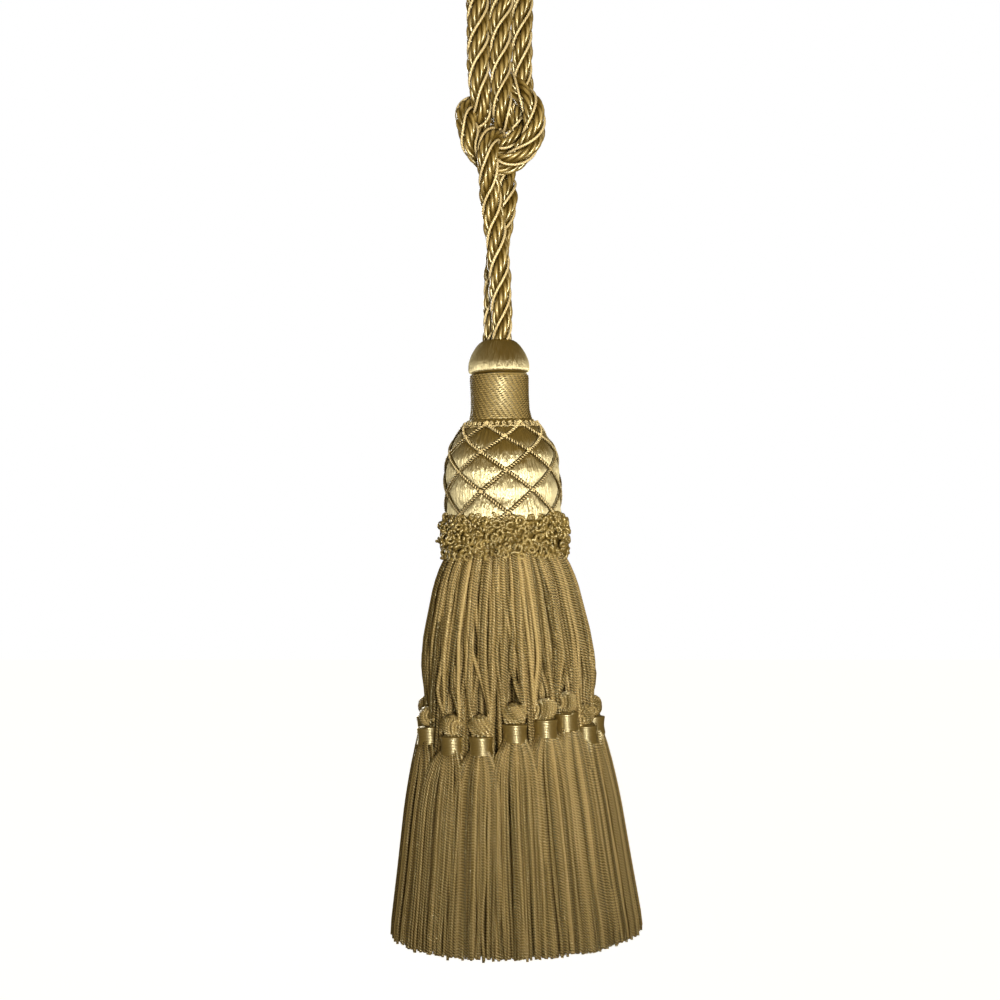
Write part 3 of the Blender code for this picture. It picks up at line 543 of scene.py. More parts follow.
# %% Threads round an axis
FLOSS_DEPTH = 40.0  # how often the threads change from front to back, per metre
FLOSS_RUN = 260.0  # and along their run
FLOSS_DETAIL = 4.0

wraps, given, result = new_group("wrapped floss", [("Threads", 150.0)], ["Thread"])
place = wraps.nodes.new("ShaderNodeTexCoord")
split = wraps.nodes.new("ShaderNodeSeparateXYZ")
joined = wraps.nodes.new("ShaderNodeCombineXYZ")
wraps.links.new(place.outputs["Object"], split.inputs[0])
turned = maths(wraps, "ARCTAN2", split.outputs[0], maths(wraps, "ABSOLUTE", split.outputs[1]))
often = given.outputs["Threads"], FLOSS_DEPTH, FLOSS_RUN
for axis, way in enumerate((turned, split.outputs[1], split.outputs[2])):
    wraps.links.new(maths(wraps, "MULTIPLY", way, often[axis]), joined.inputs[axis])
noise = wraps.nodes.new("ShaderNodeTexNoise")
noise.inputs["Scale"].default_value = 1.0
noise.inputs["Detail"].default_value = FLOSS_DETAIL
wraps.links.new(joined.outputs[0], noise.inputs["Vector"])
wraps.links.new(noise.outputs[0], result.inputs["Thread"])
print("wrapped floss nodes:", len(wraps.nodes))

# %% Satin for the cap and the bulb
FLOSS_INDEX = 4.0
FLOSS_SIDEWAYS = 0.95  # anisotropy


def satin(name, dark, light, roughness, threads, depth):
    """Floss wrapped up and down a turned shape. depth is how far its threads stand out, in mm."""
    made = yarn(
        name, dark=dark, light=light, roughness=roughness, index=FLOSS_INDEX, aniso=FLOSS_SIDEWAYS
    )
    tree = made.node_tree
    shader = tree.nodes["Principled BSDF"]
    tangent = tree.nodes.new("ShaderNodeTangent")
    tangent.direction_type = "RADIAL"
    tangent.axis = "Z"
    tree.links.new(tangent.outputs[0], shader.inputs["Tangent"])
    node = tree.nodes.new("ShaderNodeGroup")
    node.node_tree = wraps
    node.inputs[0].default_value = threads
    bump = tree.nodes.new("ShaderNodeBump")
    bump.inputs["Distance"].default_value = depth * MM
    tree.links.new(node.outputs[0], bump.inputs["Height"])
    tree.links.new(bump.outputs[0], shader.inputs["Normal"])
    mix = next(n for n in tree.nodes if n.bl_idname == "ShaderNodeMix")
    tree.links.new(node.outputs[0], mix.inputs["Factor"])
    return made


cap_satin = satin(
    "cap satin", dark=(0.035, 0.017, 0.0008, 1), light=(0.07, 0.036, 0.002, 1), roughness=0.54,
    threads=26, depth=0.8,
)
bulb_satin = satin(
    "bulb satin", dark=(0.026, 0.013, 0.0006, 1), light=(0.126, 0.073, 0.0105, 1), roughness=0.45,
    threads=28, depth=0.85,
)
print("satins:", cap_satin.name, bulb_satin.name)

# %% [markdown]
# ## The cap
# The cap is a little dome with a flared lip, drilled through for the cords. A circle of edges is
# extruded ring after ring down its outline and round its under side, as on a lathe.

# %% Turn the cap
CAP = (  # half its width, half its depth, and how far below the top
    (5.4, 8.3, 7.0), (5.7, 8.7, 2.6), (6.1, 9.0, 0.6), (6.7, 9.4, -0.1), (7.6, 9.8, 0.1),
    (9.0, 10.4, 1.0), (10.6, 11.2, 2.7), (11.8, 12.0, 4.5), (13.0, 13.0, 6.6), (13.9, 13.9, 8.9),
    (14.25, 14.25, 10.0), (14.45, 14.45, 11.4), (14.55, 14.55, 13.2), (14.5, 14.5, 14.3),
    (14.0, 14.0, 15.1), (13.0, 13.0, 15.5), (5.6, 8.4, 15.5),
)
CAP_SIDES = 96
LIP = -0.2265  # metres; the lip's ring lies below it
bpy.ops.object.select_all(action="DESELECT")
bpy.ops.mesh.primitive_circle_add(
    vertices=CAP_SIDES, radius=CAP[0][0] * MM, fill_type="NOTHING", location=(0, 0, 0)
)
cap = bpy.context.object
cap.name = "turned_cap"
bpy.ops.object.mode_set(mode="EDIT")
bpy.ops.mesh.select_all(action="SELECT")
bpy.ops.transform.resize(value=(1, CAP[0][1] / CAP[0][0], 1))
bpy.ops.transform.translate(value=(0, 0, -CAP[0][2] * MM))
for (wide, deep, above), (wider, deeper, below) in zip(CAP, CAP[1:] + CAP[:1]):
    rise = (0, 0, (above - below) * MM)
    bpy.ops.mesh.extrude_region_move(TRANSFORM_OT_translate={"value": rise})
    bpy.ops.transform.resize(value=(wider / wide, deeper / deep, 1))
bpy.ops.mesh.select_all(action="SELECT")
bpy.ops.mesh.remove_doubles(threshold=0.01 * MM)
bpy.ops.mesh.normals_make_consistent(inside=False)
bpy.ops.transform.rotate(value=LEAN, orient_axis="Y", center_override=(0, 0, 0))
bpy.ops.transform.translate(value=[c * MM for c in TASSEL_AT])
bpy.ops.object.mode_set(mode="OBJECT")
bpy.ops.object.shade_smooth()
cap.data.materials.append(cap_satin)
finish_piece(cap, "satin", "cap")
lip_x = np.mean([v.co.x for v in cap.data.vertices if v.co.z < LIP])
print("cap faces:", len(cap.data.polygons), "its lip stands at x, mm:", round(lip_x / MM, 2))

# %% [markdown]
# ## The wound neck
# Below the cap a fine two-ply cord is wound round and round, twenty-two turns that touch. One
# long helix gives its route, and two strands twist along it. Its crowns step on a little from
# turn to turn, so together they make slanting ridges. A plain core closes what shows between.

# %% Wind the neck
NECK_TOP = 15.9
NECK_FOOT = 38.6
NECK_TURNS = 22
NECK_STEPS = 130  # to a turn
# how far below the cap's top, and the radius there
NECK_WAIST = ((16, 13.2), (18, 13.5), (26, 13.3), (33, 13.5), (37, 14.4), (39, 15.4))
NECK_TWISTS = 17.12  # of the cord in one turn; the odd tenth steps its crowns from turn to turn
NECK_DRIFT = 0.05  # how far the crowns wander from that, in twists
NECK_PLY_OUT = 0.42
NECK_PLY = 0.25
NECK_LIT_FROM = 0.45
NECK_LIT_OVER = 0.12

neck_turn = np.linspace(0, NECK_TURNS, NECK_TURNS * NECK_STEPS)
neck_below = NECK_TOP + 0.5 + neck_turn / NECK_TURNS * (NECK_FOOT - NECK_TOP - 1)
neck_radius = np.interp(neck_below, *np.array(NECK_WAIST).T)
neck_twist = NECK_TWISTS * neck_turn + NECK_DRIFT * np.sin(neck_turn * 0.9)
winding = facing(-360 * neck_turn, neck_radius, neck_below)[None]
core = facing(0, 0, np.linspace(NECK_TOP, NECK_FOOT, 12))[None]
core_radius = np.interp(-core[..., 2], neck_below, neck_radius)
# Its light colour is mostly a painted highlight on the cord's crowns and its dark one painted shade
# between them.
neck_yarn = yarn(
    "winding cord", dark=(0.028, 0.015, 0.0015, 1), light=(0.45, 0.31, 0.1, 1), roughness=0.38,
    index=1.95, bright=0.3, depth_shade=0.65,
)


# Painted light: a painted highlight where the cord stands out from the neck, painted shade where it
# lies low.
def painted_neck_light(ring):
    away = np.hypot(ring[..., 0], ring[..., 1]) - np.interp(-ring[..., 2], neck_below, neck_radius)
    return lit(away, NECK_LIT_FROM, NECK_LIT_OVER)


strands = laid(winding, 2, NECK_PLY_OUT, turns=-neck_twist[None])
neck = tubes("wound_neck", [(strands, NECK_PLY)], 5, neck_yarn, painted_neck_light)
neck_core = tubes("neck_core", [(core, core_radius)], 48, neck_yarn)
hang_up(neck, neck_core)
finish_piece(neck, "winding", "neck_winding")
finish_piece(neck_core, "winding")

# %% [markdown]
# ## The bulb
# Floss covers the wooden bulb and swells between the cords of the net. Its surface is a fine
# grid round the axis, pushed outwards inside each diamond of the net, with a little unevenness
# from one column of threads to the next.

# %% The bulb's outline
BULB = (  # how far below the cap's top, and the radius there
    (37.3, 14.4), (40.4, 17.0), (44.5, 20.0), (49.5, 23.0), (55.0, 25.0), (61.5, 26.0),
    (69.0, 26.3), (78.0, 26.2), (90.0, 26.0), (97.0, 24.0),
)
SOFTEN = 33  # heights out of 320 over which the outline's corners are rounded

bulb_heights = np.linspace(BULB[0][0] - 3, BULB[-1][0] + 3, 320)
soften = np.hanning(SOFTEN) / np.hanning(SOFTEN).sum()
outline = np.pad(np.interp(bulb_heights, *np.array(BULB).T), SOFTEN // 2, mode="edge")
outline = np.convolve(outline, soften, mode="valid")


def bulb_radius(below):
    return np.interp(below, bulb_heights, outline)


print("bulb radius 50, 65 and 80 mm down:", bulb_radius(np.array((50, 65, 80))).round(2))

# %% Cover the bulb
NET_AROUND = 7
NET_LEVELS = (39.8, 46.2, 53.0, 61.8, 71.2, 81.4, 89.4)  # of its crossings, below the cap's top
NET_FIRST = -21.4  # degrees from the front to a crossing
PILLOW = 1.15  # how far the floss swells in a diamond
UNEVEN = 0.10
BULB_COLUMNS = 448
BULB_ROWS = 100
BULB_TOP = 37.5
BULB_FOOT = 96.0

bulb_below, bulb_way = np.meshgrid(
    np.linspace(BULB_TOP, BULB_FOOT, BULB_ROWS), np.arange(BULB_COLUMNS) / BULB_COLUMNS * 360,
    indexing="ij",
)
net_row = np.interp(bulb_below, NET_LEVELS, range(len(NET_LEVELS)))
net_turn = (bulb_way - NET_FIRST) / 360 * NET_AROUND
inside = np.abs(
    np.sin(np.pi * (net_turn + net_row / 2)) * np.sin(np.pi * (net_turn - net_row / 2))
)
floss_ridges = np.repeat(draw.normal(0, UNEVEN, BULB_COLUMNS // 2), 2)[None]
swelling = PILLOW * inside ** 0.6 + floss_ridges * inside ** 0.5  # steepest beside the cords
surface = hung(facing(bulb_way, bulb_radius(bulb_below) + swelling, bulb_below))
index = np.arange(BULB_ROWS * BULB_COLUMNS).reshape(BULB_ROWS, BULB_COLUMNS)
right = np.roll(index, -1, axis=1)
quads = np.stack([index[1:], right[1:], right[:-1], index[:-1]], axis=-1).reshape(-1)
lids = np.concatenate([index[0], index[-1, ::-1]])
bulb = add_mesh(
    "floss_bulb", surface.reshape(-1, 3) * MM, np.concatenate([quads, lids]),
    np.concatenate([np.full(len(quads) // 4, 4), [BULB_COLUMNS, BULB_COLUMNS]]),
    np.zeros((len(quads) + len(lids), 2)), bulb_satin,
)
finish_piece(bulb, "satin", "bulb")
print("bulb faces:", len(bulb.data.polygons))

# %% [markdown]
# ## The net
# Fourteen twisted cords, seven each way, cross over the bulb in diamonds, with a knot at every
# crossing. A knot is a small round of the same cord lying flat on the bulb. One more cord, in
# tight loops, runs round the net's upper edge. Each of them is two strands laid together.

# %% Cords and knots of the net
# Its light colour is a painted highlight on the beads, the crowns of the twist; its dark one painted
# shade between them.
net_yarn = yarn(
    "net cord", dark=(0.035, 0.019, 0.002, 1), light=(0.72, 0.54, 0.24, 1), roughness=0.4,
    index=1.9, bright=0.3, depth_shade=0.6,
)
NET_LIFT = 1.0
NET_PLY = 0.43
NET_TWIST = 0.62
NET_LAY = 2.7
NET_LIT_FROM = 0.84
NET_LIT_OVER = 0.12
KNOT_TURNS = 2.2
KNOT_WIDE = (0.35, 1.0)  # from the first turn to the last
KNOT_RISE = 0.5
KNOT_TALL = 1.15
KNOT_PLY, KNOT_TWIST, KNOT_LAY = 0.33, 0.36, 1.9


# Painted light: a painted highlight where a strand stands out from the bulb, painted shade where it
# lies low.
def painted_net_light(ring):
    away = np.hypot(ring[..., 0], ring[..., 1]) - bulb_radius(-ring[..., 2]) - NET_LIFT
    return lit(away, NET_LIT_FROM, NET_LIT_OVER)


rows = np.linspace(0, len(NET_LEVELS) - 1, 400)
net_below = np.interp(rows, range(len(NET_LEVELS)), NET_LEVELS)
cords = []
for lean in (1, -1):
    for i in range(NET_AROUND):
        way = NET_FIRST + 360 * (i + lean * rows / 2) / NET_AROUND
        cords.append(facing(way, bulb_radius(net_below) + NET_LIFT, net_below))
knots = []
ring = np.linspace(0, KNOT_TURNS * 2 * np.pi, 44)
wide = KNOT_WIDE[0] + (KNOT_WIDE[1] - KNOT_WIDE[0]) * (ring / ring[-1])
for level, below in enumerate(NET_LEVELS[:-1]):
    for i in range(NET_AROUND):
        way = NET_FIRST + 360 * (i + level % 2 / 2) / NET_AROUND
        out = bulb_radius(below) + NET_LIFT - 0.1
        knots.append(facing(
            way + np.degrees(np.cos(ring) * wide / out), out + KNOT_RISE * (1 - ring / ring[-1]),
            below + np.sin(ring) * wide * KNOT_TALL,
        ))
print("net cords:", len(cords), "knots:", len(knots))

# %% Edge the net and lay its strands
EDGE_LOOPS = 38
EDGE_BELOW = 40.1
EDGE_TALL = 1.1
EDGE_WIDE = 1.3
EDGE_PLY, EDGE_TWIST, EDGE_LAY = 0.34, 0.38, 2.1

t = np.linspace(0, 2 * np.pi, EDGE_LOOPS * 14)
edge_below = EDGE_BELOW + EDGE_TALL * np.cos(EDGE_LOOPS * t)
edge_radius = bulb_radius(edge_below) + 1.4 * NET_LIFT
edge_way = np.degrees(t + EDGE_WIDE * np.sin(EDGE_LOOPS * t) / edge_radius)
edge = facing(edge_way, edge_radius, edge_below)[None]
strands = [
    (laid(np.array(cords), 2, NET_TWIST, NET_LAY), NET_PLY),
    (laid(np.array(knots), 2, KNOT_TWIST, KNOT_LAY), KNOT_PLY),
    (laid(edge, 2, EDGE_TWIST, EDGE_LAY), EDGE_PLY),
]
net = tubes("twisted_net", strands, 5, net_yarn, painted_net_light)
hang_up(net)
finish_piece(net, "net", "net")

# %% [markdown]
# ## The ruff
# A ruff of short loops hides where the fringe begins. It is a trimming of tightly curled cord, so
# every loop leans its own way. Each is about one curl of cord, placed by a seeded draw. The golden
# angle from loop to loop spreads them evenly, without rows. A band all in painted shade closes the
# ground.

# %% Curl the ruff
RUFF_LOOPS = 430
RUFF_CORD = 0.78
RUFF_TOP = 82.5
RUFF_HEIGHT = 19.5
RUFF_OUTLINE = ((82, 26.2), (86, 28.7), (95, 29.3), (100, 29.2), (102, 28.6))  # below, radius
CURL_TALL = 1.2
GOLDEN_ANGLE = math.pi * (3 - math.sqrt(5))
# Its twist paints a highlight on its crowns and shade in its grooves.
ruff_yarn = yarn(
    "ruff cord", light=(0.24, 0.157, 0.035, 1), crown=(2, 1.9), relief=0.15, roughness=0.36,
    index=2.5, depth_shade=0.45,
)


def curl(number):
    """The line of one loop. Its place, size and lean are drawn, and it rolls out of its plane."""
    way = math.degrees(number * GOLDEN_ANGLE) % 360
    below = RUFF_TOP + RUFF_HEIGHT * (number + 0.5) / RUFF_LOOPS + draw.normal(0, 0.7)
    size = draw.uniform(0.9, 1.7)
    out = np.interp(below, *np.array(RUFF_OUTLINE).T) + draw.normal(0, 0.35)
    side, outward, down = directions(way)
    spin, lean, roll = draw.uniform(0, 6.28), draw.normal(0, 0.9), draw.uniform(-1, 1)
    a = math.cos(spin) * side + math.sin(spin) * down
    b = math.cos(lean) * (math.cos(spin) * down - math.sin(spin) * side) + math.sin(lean) * outward
    t = np.linspace(0, 2 * np.pi * draw.uniform(0.7, 1.3), 16)
    loop = size * (np.cos(t)[:, None] * a + np.sin(t)[:, None] * b * CURL_TALL)
    return facing(way, out, below) + loop + (t / 3 * roll)[:, None] * np.cross(a, b)


curls = np.array([curl(number) for number in range(RUFF_LOOPS)])
ruff = tubes("ruff_of_loops", [(hung(curls), RUFF_CORD)], 6, ruff_yarn)

# %% Close the ground of the ruff
GROUND_RADIUS = 27.6
GROUND_TOP, GROUND_FOOT = 85, 100

# The ground under the loops is painted shade: one dark, dull colour throughout.
ruff_ground_painted_shade = yarn("ruff ground painted shade", light=SHADE, roughness=0.8, index=1.4, fibre=(200.0, 0.5))
ground = facing(0, 0, np.linspace(GROUND_TOP, GROUND_FOOT, 6))[None]
ruff_band = tubes("ruff_band", [(hung(ground), GROUND_RADIUS)], 64, ruff_ground_painted_shade)
finish_piece(ruff_band, "ruff")
finish_piece(ruff, "ruff", "collar")

# %% [markdown]
# ## The long fringe
# The fringe is cut cord, a little under two millimetres thick and tightly twisted. Its outer cords
# are drawn together into sixteen small tassels; those behind fall straight to the foot. Modelling
# one cord and copying it would make them all alike, so each gets its own line from a seeded draw.
# Every line keeps a depth under one outline, which swells from the ruff down to the foot.

# %% The outline and where the small tassels hang
ENVELOPE = (  # how far below the cap's top, and the radius there
    (90, 26.0), (102, 28.4), (109, 32.0), (116, 34.4), (138, 39.4), (160, 42.8), (178, 44.7),
    (192, 46.6), (218, 51.3), (249, 55.6), (275, 59.4), (284, 59.8),
)
FOOT = 279.0
HANGERS = (  # degrees round from the front, and how far below the cap's top its band is
    (-74, 184.8), (-42, 187.0), (-19.5, 186.6), (3, 181.4), (24, 180.2), (41.5, 178.0),
    (61, 185.2), (84, 183.0), (106, 184.0), (128, 181.5), (150, 185.5), (172, 183.0),
    (195, 181.0), (217, 185.0), (240, 183.5), (263, 181.5),
)
HANGER_DEPTH = 6.0
BAND_HEIGHT = 8.6
KNOB_RADIUS = 5.3
# Its twist paints a highlight on each crown and shade in each groove, the fine ticks along a cord.
fringe_yarn = yarn(
    "fringe cord", dark=(0.035, 0.02, 0.002, 1), light=(0.57, 0.395, 0.148, 1), crown=(2, 2.6),
    fibre=(4.0, 1.1), fine=0.25, relief=0.65, roughness=0.27, index=2.9, depth_shade=0.75,
)


def envelope(below):
    return np.interp(below, *np.array(ENVELOPE).T)


def room(number):
    """Degrees to the middle of the gaps on both sides of a hanger."""
    here, count = HANGERS[number][0], len(HANGERS)
    before = (here - HANGERS[number - 1][0]) % 360
    after = (HANGERS[(number + 1) % count][0] - here) % 360
    return -before / 2, after / 2


print("outline at the foot, mm:", envelope(FOOT), "room of the first hanger:", room(0))

# %% Gather the outer cords
FRINGE_CORD = 0.95
GATHERED = (9, 8, 7)  # a hanger's cords, from its outer layer inwards
GATHER_TOP = 97
LAYER_STEP = 1.7
CROSSING = 0.2  # the share of cords that slant across their neighbours
SLANT = 7  # degrees
MEET = 0.9  # the share of the fall at which a hanger's cords are together


def gathered_cord(number, layer, k):
    """A cord's line from under the ruff into its hanger: it falls, is pulled in and is pinched."""
    target, band = HANGERS[number]
    first, last = room(number)
    fall = np.linspace(0, 1, 17)
    share = (k + 0.5 + draw.uniform(-0.3, 0.3)) / GATHERED[layer]
    start = (first + (last - first) * share) * 1.04
    top, lowest = GATHER_TOP + layer, band - BAND_HEIGHT / 2 + 1
    below = top + (lowest - top) * fall
    late = draw.uniform(0.45, 0.76)
    if draw.random() < CROSSING:
        late = draw.uniform(0.15, 0.4)
        start += draw.choice((-SLANT, SLANT))
    pull = ease((fall - late) / (MEET - late))
    pinch = ease((fall - MEET) / (1 - MEET))
    side = share * 2 - 1
    grip = (math.copysign(KNOB_RADIUS - 1.2, side) + 1.2 * side) * (1 - 0.3 * pinch)
    free = 1.0 + LAYER_STEP * layer + draw.uniform(-0.6, 0.6)
    held = 4.3 + LAYER_STEP * layer + 1.2 * pinch
    bow = draw.normal(0, 0.8) * np.sin(np.pi * fall)
    bow = bow + draw.normal(0, 0.45) * np.sin(draw.uniform(6, 13) * fall)
    radius = envelope(below) - free * (1 - pull) - held * pull
    turn = np.degrees((grip * pull + bow * (1 - pull)) / radius)
    return facing(target + start * (1 - pull) + turn, radius, below)


gathered = np.array([
    gathered_cord(number, layer, k)
    for number in range(len(HANGERS))
    for layer, amount in enumerate(GATHERED)
    for k in range(amount)
])
gathered_cords = tubes("gathered_cords", [(hung(gathered), FRINGE_CORD)], 6, fringe_yarn)
finish_piece(gathered_cords, "fringe", "skirt")

# %% Let the inner cords fall
PLAIN_TOP = 92
PLAIN_LAYERS = (  # how many cords, and their depth at the ruff, behind the hangers and at the foot
    (120, (3.8, 13.2, 7.0)), (100, (6.0, 16.0, 10.5)), (66, (9.0, 22.0, 18.0)),
)
BETWEEN = 3  # cords that fall between two hangers, level with them
BETWEEN_STEP = 2.3  # degrees
plain = []
fall = np.linspace(0, 1, 22)


def plain_fall():
    """How far below the cap's top a cord's points lie; its cut end differs a little each time."""
    foot = FOOT - 1 + draw.normal(0, 0.8)
    return PLAIN_TOP + (foot - PLAIN_TOP) * fall


for amount, depths in PLAIN_LAYERS:
    for k in range(amount):
        way = 360 * (k + draw.uniform(-0.35, 0.35)) / amount
        below = plain_fall()
        depth = np.interp(below, (PLAIN_TOP, 190, below[-1]), depths) + draw.normal(0, 0.5)
        sway = draw.normal(0, 1.6) * fall + draw.normal(0, 0.8) * np.sin(np.pi * fall)
        radius = envelope(below) - depth
        plain.append(facing(way + np.degrees(sway / radius), radius, below))
for number, (target, _) in enumerate(HANGERS):
    for k in range(BETWEEN):
        way = target + room(number)[1] + (k - (BETWEEN - 1) / 2) * BETWEEN_STEP
        way += draw.normal(0, 0.7)
        below = plain_fall()
        depth = np.interp(
            below, (PLAIN_TOP, 150, 190, 215, below[-1]), (3.8, 5.5, 6.5 + k % 2, 4.0, 3.5)
        )
        sway = draw.normal(0, 1.2) * np.sin(np.pi * fall)
        plain.append(facing(way + np.degrees(sway / 40), envelope(below) - depth, below))
plain_cords = tubes("plain_cords", [(hung(np.array(plain)), FRINGE_CORD)], 6, fringe_yarn)
finish_piece(plain_cords, "fringe")

# %% [markdown]
# ## The small tassels
# Where the gathered cords meet, a few of them fold over into a round knob, silk is wound tightly
# below it, and thinner cords fan out until they touch their neighbours. A band is one helix of
# silk and a knob is seven cords laid over a core, so each kind gets a small function and the
# sixteen tassels call all three.

# %% Wind a band
BAND_RADIUS = 5.9
BAND_WAIST = 5.3
BAND_FLARE = 1.5  # the higher, the longer the waist
BAND_TURNS = 11
BAND_STEPS = 26  # to a turn
SILK = 0.65
silk = yarn(
    "wound silk", dark=(0.035, 0.019, 0.002, 1), light=(0.12, 0.07, 0.012, 1), roughness=0.36,
    index=3.3, fibre=(3.0, 0.6),
)


def core_line(middle):
    """A short upright line through a point, one that fits inside a band."""
    share = np.linspace(-0.5, 0.5, 5)[:, None]
    return middle + share * (BAND_HEIGHT - 0.3) * np.array((0, 0, -1.0))


def wind_band(number, target, band):
    """Silk wound round a hanger in touching turns, over a plain core."""
    turn = np.linspace(0, BAND_TURNS, BAND_TURNS * BAND_STEPS)
    middle = facing(target, envelope(band) - HANGER_DEPTH, band)
    side, outward, down = directions(target)
    drop = (turn / BAND_TURNS - 0.5) * (BAND_HEIGHT - 0.7)
    flare = (2 * np.abs(drop) / BAND_HEIGHT) ** BAND_FLARE
    wide = BAND_WAIST + (BAND_RADIUS - BAND_WAIST) * flare - 0.55
    spin = turn * 2 * np.pi + number
    wound = middle + (
        (np.sin(spin) * wide)[:, None] * side + (np.cos(spin) * wide)[:, None] * outward
        + drop[:, None] * down
    )
    groups = [(hung(wound[None]), SILK), (hung(core_line(middle)[None]), BAND_WAIST - 0.6)]
    bands = tubes(f"hanger_band_{number:02d}", groups, 6, silk)
    finish_piece(bands, "fringe")


# %% Fold a knob
KNOB_ABOVE = 8.9  # from the band's middle to the knob's
KNOB_OUT = 1.3  # how far the knob stands out over the band
KNOB_SHAPE = np.array((1.16, 0.84, 0.98))  # across, outwards and down
KNOB_CORDS = 7
KNOB_POINTS = 17
KNOB_CORD = 0.8
KNOB_CORE = 3.0
# Its twist paints a highlight on its crowns and shade in its grooves.
knob_yarn = yarn(
    "knob cord", dark=(0.09, 0.054, 0.008, 1), light=(0.48, 0.335, 0.125, 1), crown=(2, 2.1),
    relief=0.6, roughness=0.28, index=2.7, depth_shade=0.9,
)


def fold_knob(number, target, band):
    """Cords over a core, as hoops side by side on a ball that is slanted and flattened."""
    slant, drift, puff, nod = draw.uniform(-1, 1, 4)
    across = np.linspace(-0.85, 0.85, KNOB_CORDS)[:, None] + 0.08 * drift
    across = across + draw.normal(0, 0.03, (KNOB_CORDS, 1))
    round_it = np.linspace(-np.pi / 2, 1.5 * np.pi, KNOB_POINTS) + np.zeros_like(across)
    hoop = np.sqrt(1 - across**2)
    x, z = across + 0.1 * nod * np.sin(2 * round_it), hoop * np.sin(round_it)
    slant = 0.15 + 0.4 * slant
    ball = np.stack([
        x * math.cos(slant) - z * math.sin(slant), hoop * np.cos(round_it),
        x * math.sin(slant) + z * math.cos(slant),
    ], axis=-1)
    ball = ball * draw.uniform(0.94, 1.04, (KNOB_CORDS, KNOB_POINTS, 1))
    ball = ball * (KNOB_RADIUS - 0.9 + 0.2 * puff) * KNOB_SHAPE
    side, outward, down = directions(target)
    ball = ball[..., :1] * side + ball[..., 1:2] * outward - ball[..., 2:] * down
    above = band - KNOB_ABOVE
    middle = facing(target, envelope(above) - HANGER_DEPTH + KNOB_OUT, above)
    groups = [(hung(middle + ball), KNOB_CORD), (hung(core_line(middle)[None]), KNOB_CORE)]
    knob = tubes(f"hanger_knob_{number:02d}", groups, 8, knob_yarn)
    finish_piece(knob, "fringe", f"hanger_knot_{number:02d}")


# %% Fan a tuft
TUFT_CORD = 0.7
TUFT_LAYERS = 3
TUFT_CORDS = 24  # in one layer, side by side
TUFT_SPREAD = 11  # the higher, the sooner the cords reach their full width below the band
TUFT_OVERLAP = 1.07  # how far a tuft reaches, as a share of its room
TUFT_STEP = 1.9


def tuft_cord(number, k):
    """A cord's line out of a band to the foot. The layers change places with every cord."""
    target, band = HANGERS[number]
    first, last = room(number)
    fall = np.linspace(0, 1, 14)
    layer = k % TUFT_LAYERS
    x = 2 * (k + 0.5) / (TUFT_LAYERS * TUFT_CORDS) - 1
    y = (1 - layer) * math.sqrt(1 - 0.7 * x * x)
    foot = FOOT + draw.normal(0, 0.6)
    below = band + 2 + (foot - band - 2) * fall
    spread = 0.9 * (1 - (1 - fall) ** TUFT_SPREAD) + 0.1 * fall
    half = math.radians(last if x > 0 else -first) * envelope(foot) * TUFT_OVERLAP
    offset = x * (BAND_WAIST - 1) * (1 - spread) + x * half * spread
    offset = offset + draw.normal(0, 0.45) * np.sin(np.pi * fall) + draw.normal(0, 0.5) * fall
    offset = offset + draw.normal(0, 0.3) * np.sin(draw.uniform(7, 14) * fall) * fall
    free = 1.2 + TUFT_STEP * layer + draw.uniform(-1, 1)
    held = HANGER_DEPTH - y * 3.9
    radius = envelope(below) - (held * (1 - spread) + free * spread)
    return facing(target + np.degrees(offset / radius), radius, below)


def fan_tuft(number):
    tuft = np.array([tuft_cord(number - 1, k) for k in range(TUFT_LAYERS * TUFT_CORDS)])
    fringe = tubes(f"hanger_fringe_{number:02d}", [(hung(tuft), TUFT_CORD)], 6, fringe_yarn)
    finish_piece(fringe, "fringe", f"hanger_tuft_{number:02d}")


# %% Tie the small tassels
for number, (target, band) in enumerate(HANGERS, 1):
    wind_band(number, target, band)
    fold_knob(number, target, band)
    fan_tuft(number)

# %% [markdown]
# ## Backdrop and light
# A sheet of pale paper is the floor, and the world is white wherever the camera sees it. For all
# other rays the world is dim and warm, so that the yarn's hollows stay gold. Silk shows its sheen
# best when the light comes from where we look, so the main lamp is a soft square close beside the
# camera, with a narrow beam. A weak one fills from the right and a third lights the edges from
# behind.

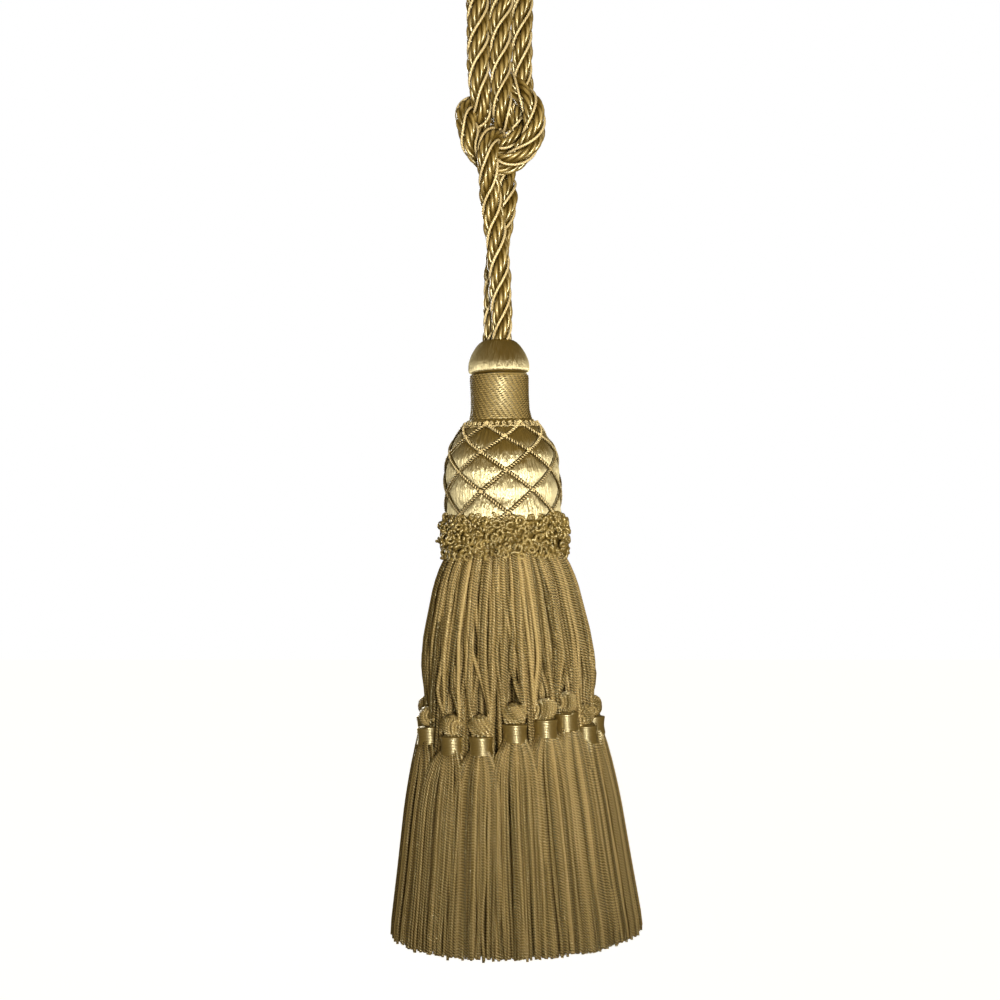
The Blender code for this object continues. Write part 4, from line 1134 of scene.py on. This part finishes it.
# %% Backdrop
PAPER_GLOW = 0.9
FLOOR = -0.72
FLOOR_SIZE = 8
paper = bpy.data.materials.new("pale paper")
paper.use_nodes = True
tree = paper.node_tree
shader = tree.nodes["Principled BSDF"]
shader.inputs["Base Color"].default_value = (0.9, 0.9, 0.89, 1)
shader.inputs["Roughness"].default_value = 0.95
shader.inputs["Specular IOR Level"].default_value = 0.1
shader.inputs["Emission Color"].default_value = (1, 1, 1, 1)
seen = tree.nodes.new("ShaderNodeLightPath").outputs["Is Camera Ray"]
tree.links.new(maths(tree, "MULTIPLY", seen, PAPER_GLOW), shader.inputs["Emission Strength"])
bpy.ops.object.select_all(action="DESELECT")
bpy.ops.mesh.primitive_plane_add(size=FLOOR_SIZE, location=(0, 0, FLOOR))
floor = bpy.context.object
floor.name = "paper_floor"
floor.data.materials.append(paper)
print("paper floor at z, m:", FLOOR)

# %% Lamps
KEY = ((0.16, -0.98, -0.35), 0.24, 1.8)  # its place, its size and its power in watts
FILL = ((0.45, -0.8, 0.12), 0.35, 0.15)
BACK = ((-0.3, 0.95, -0.1), 0.6, 1.3)
BEAM = math.radians(50)
AIM = Vector((0, 0, -0.16))


def soft_lamp(name, place, size, power):
    """A square lamp with a narrow beam, turned towards the tassel's neck."""
    bpy.ops.object.light_add(type="AREA", location=place)
    lamp = bpy.context.object
    lamp.name = name
    lamp.data.size = size
    lamp.data.energy = power
    lamp.data.spread = BEAM
    lamp.rotation_euler = (AIM - Vector(place)).to_track_quat("-Z", "Y").to_euler()
    print(name, "lamp, mm from its aim:", round((AIM - Vector(place)).length / MM))


soft_lamp("key", *KEY)
soft_lamp("fill", *FILL)
soft_lamp("back", *BACK)

# %% Surroundings
SURROUNDINGS = 0.18
WARM = (1.0, 0.82, 0.45, 1)
world = bpy.data.worlds.new("studio")
world.use_nodes = True
tree = world.node_tree
seen = tree.nodes.new("ShaderNodeLightPath").outputs["Is Camera Ray"]
glow = tree.nodes.new("ShaderNodeMix")
glow.data_type = "RGBA"
glow.inputs["A"].default_value = WARM
glow.inputs["B"].default_value = (1, 1, 1, 1)
tree.links.new(seen, glow.inputs["Factor"])
tree.links.new(glow.outputs["Result"], tree.nodes["Background"].inputs["Color"])
strength = maths(tree, "MULTIPLY_ADD", seen, 1 - SURROUNDINGS, SURROUNDINGS)
tree.links.new(strength, tree.nodes["Background"].inputs["Strength"])
bpy.context.scene.world = world
print("world nodes:", len(tree.nodes))
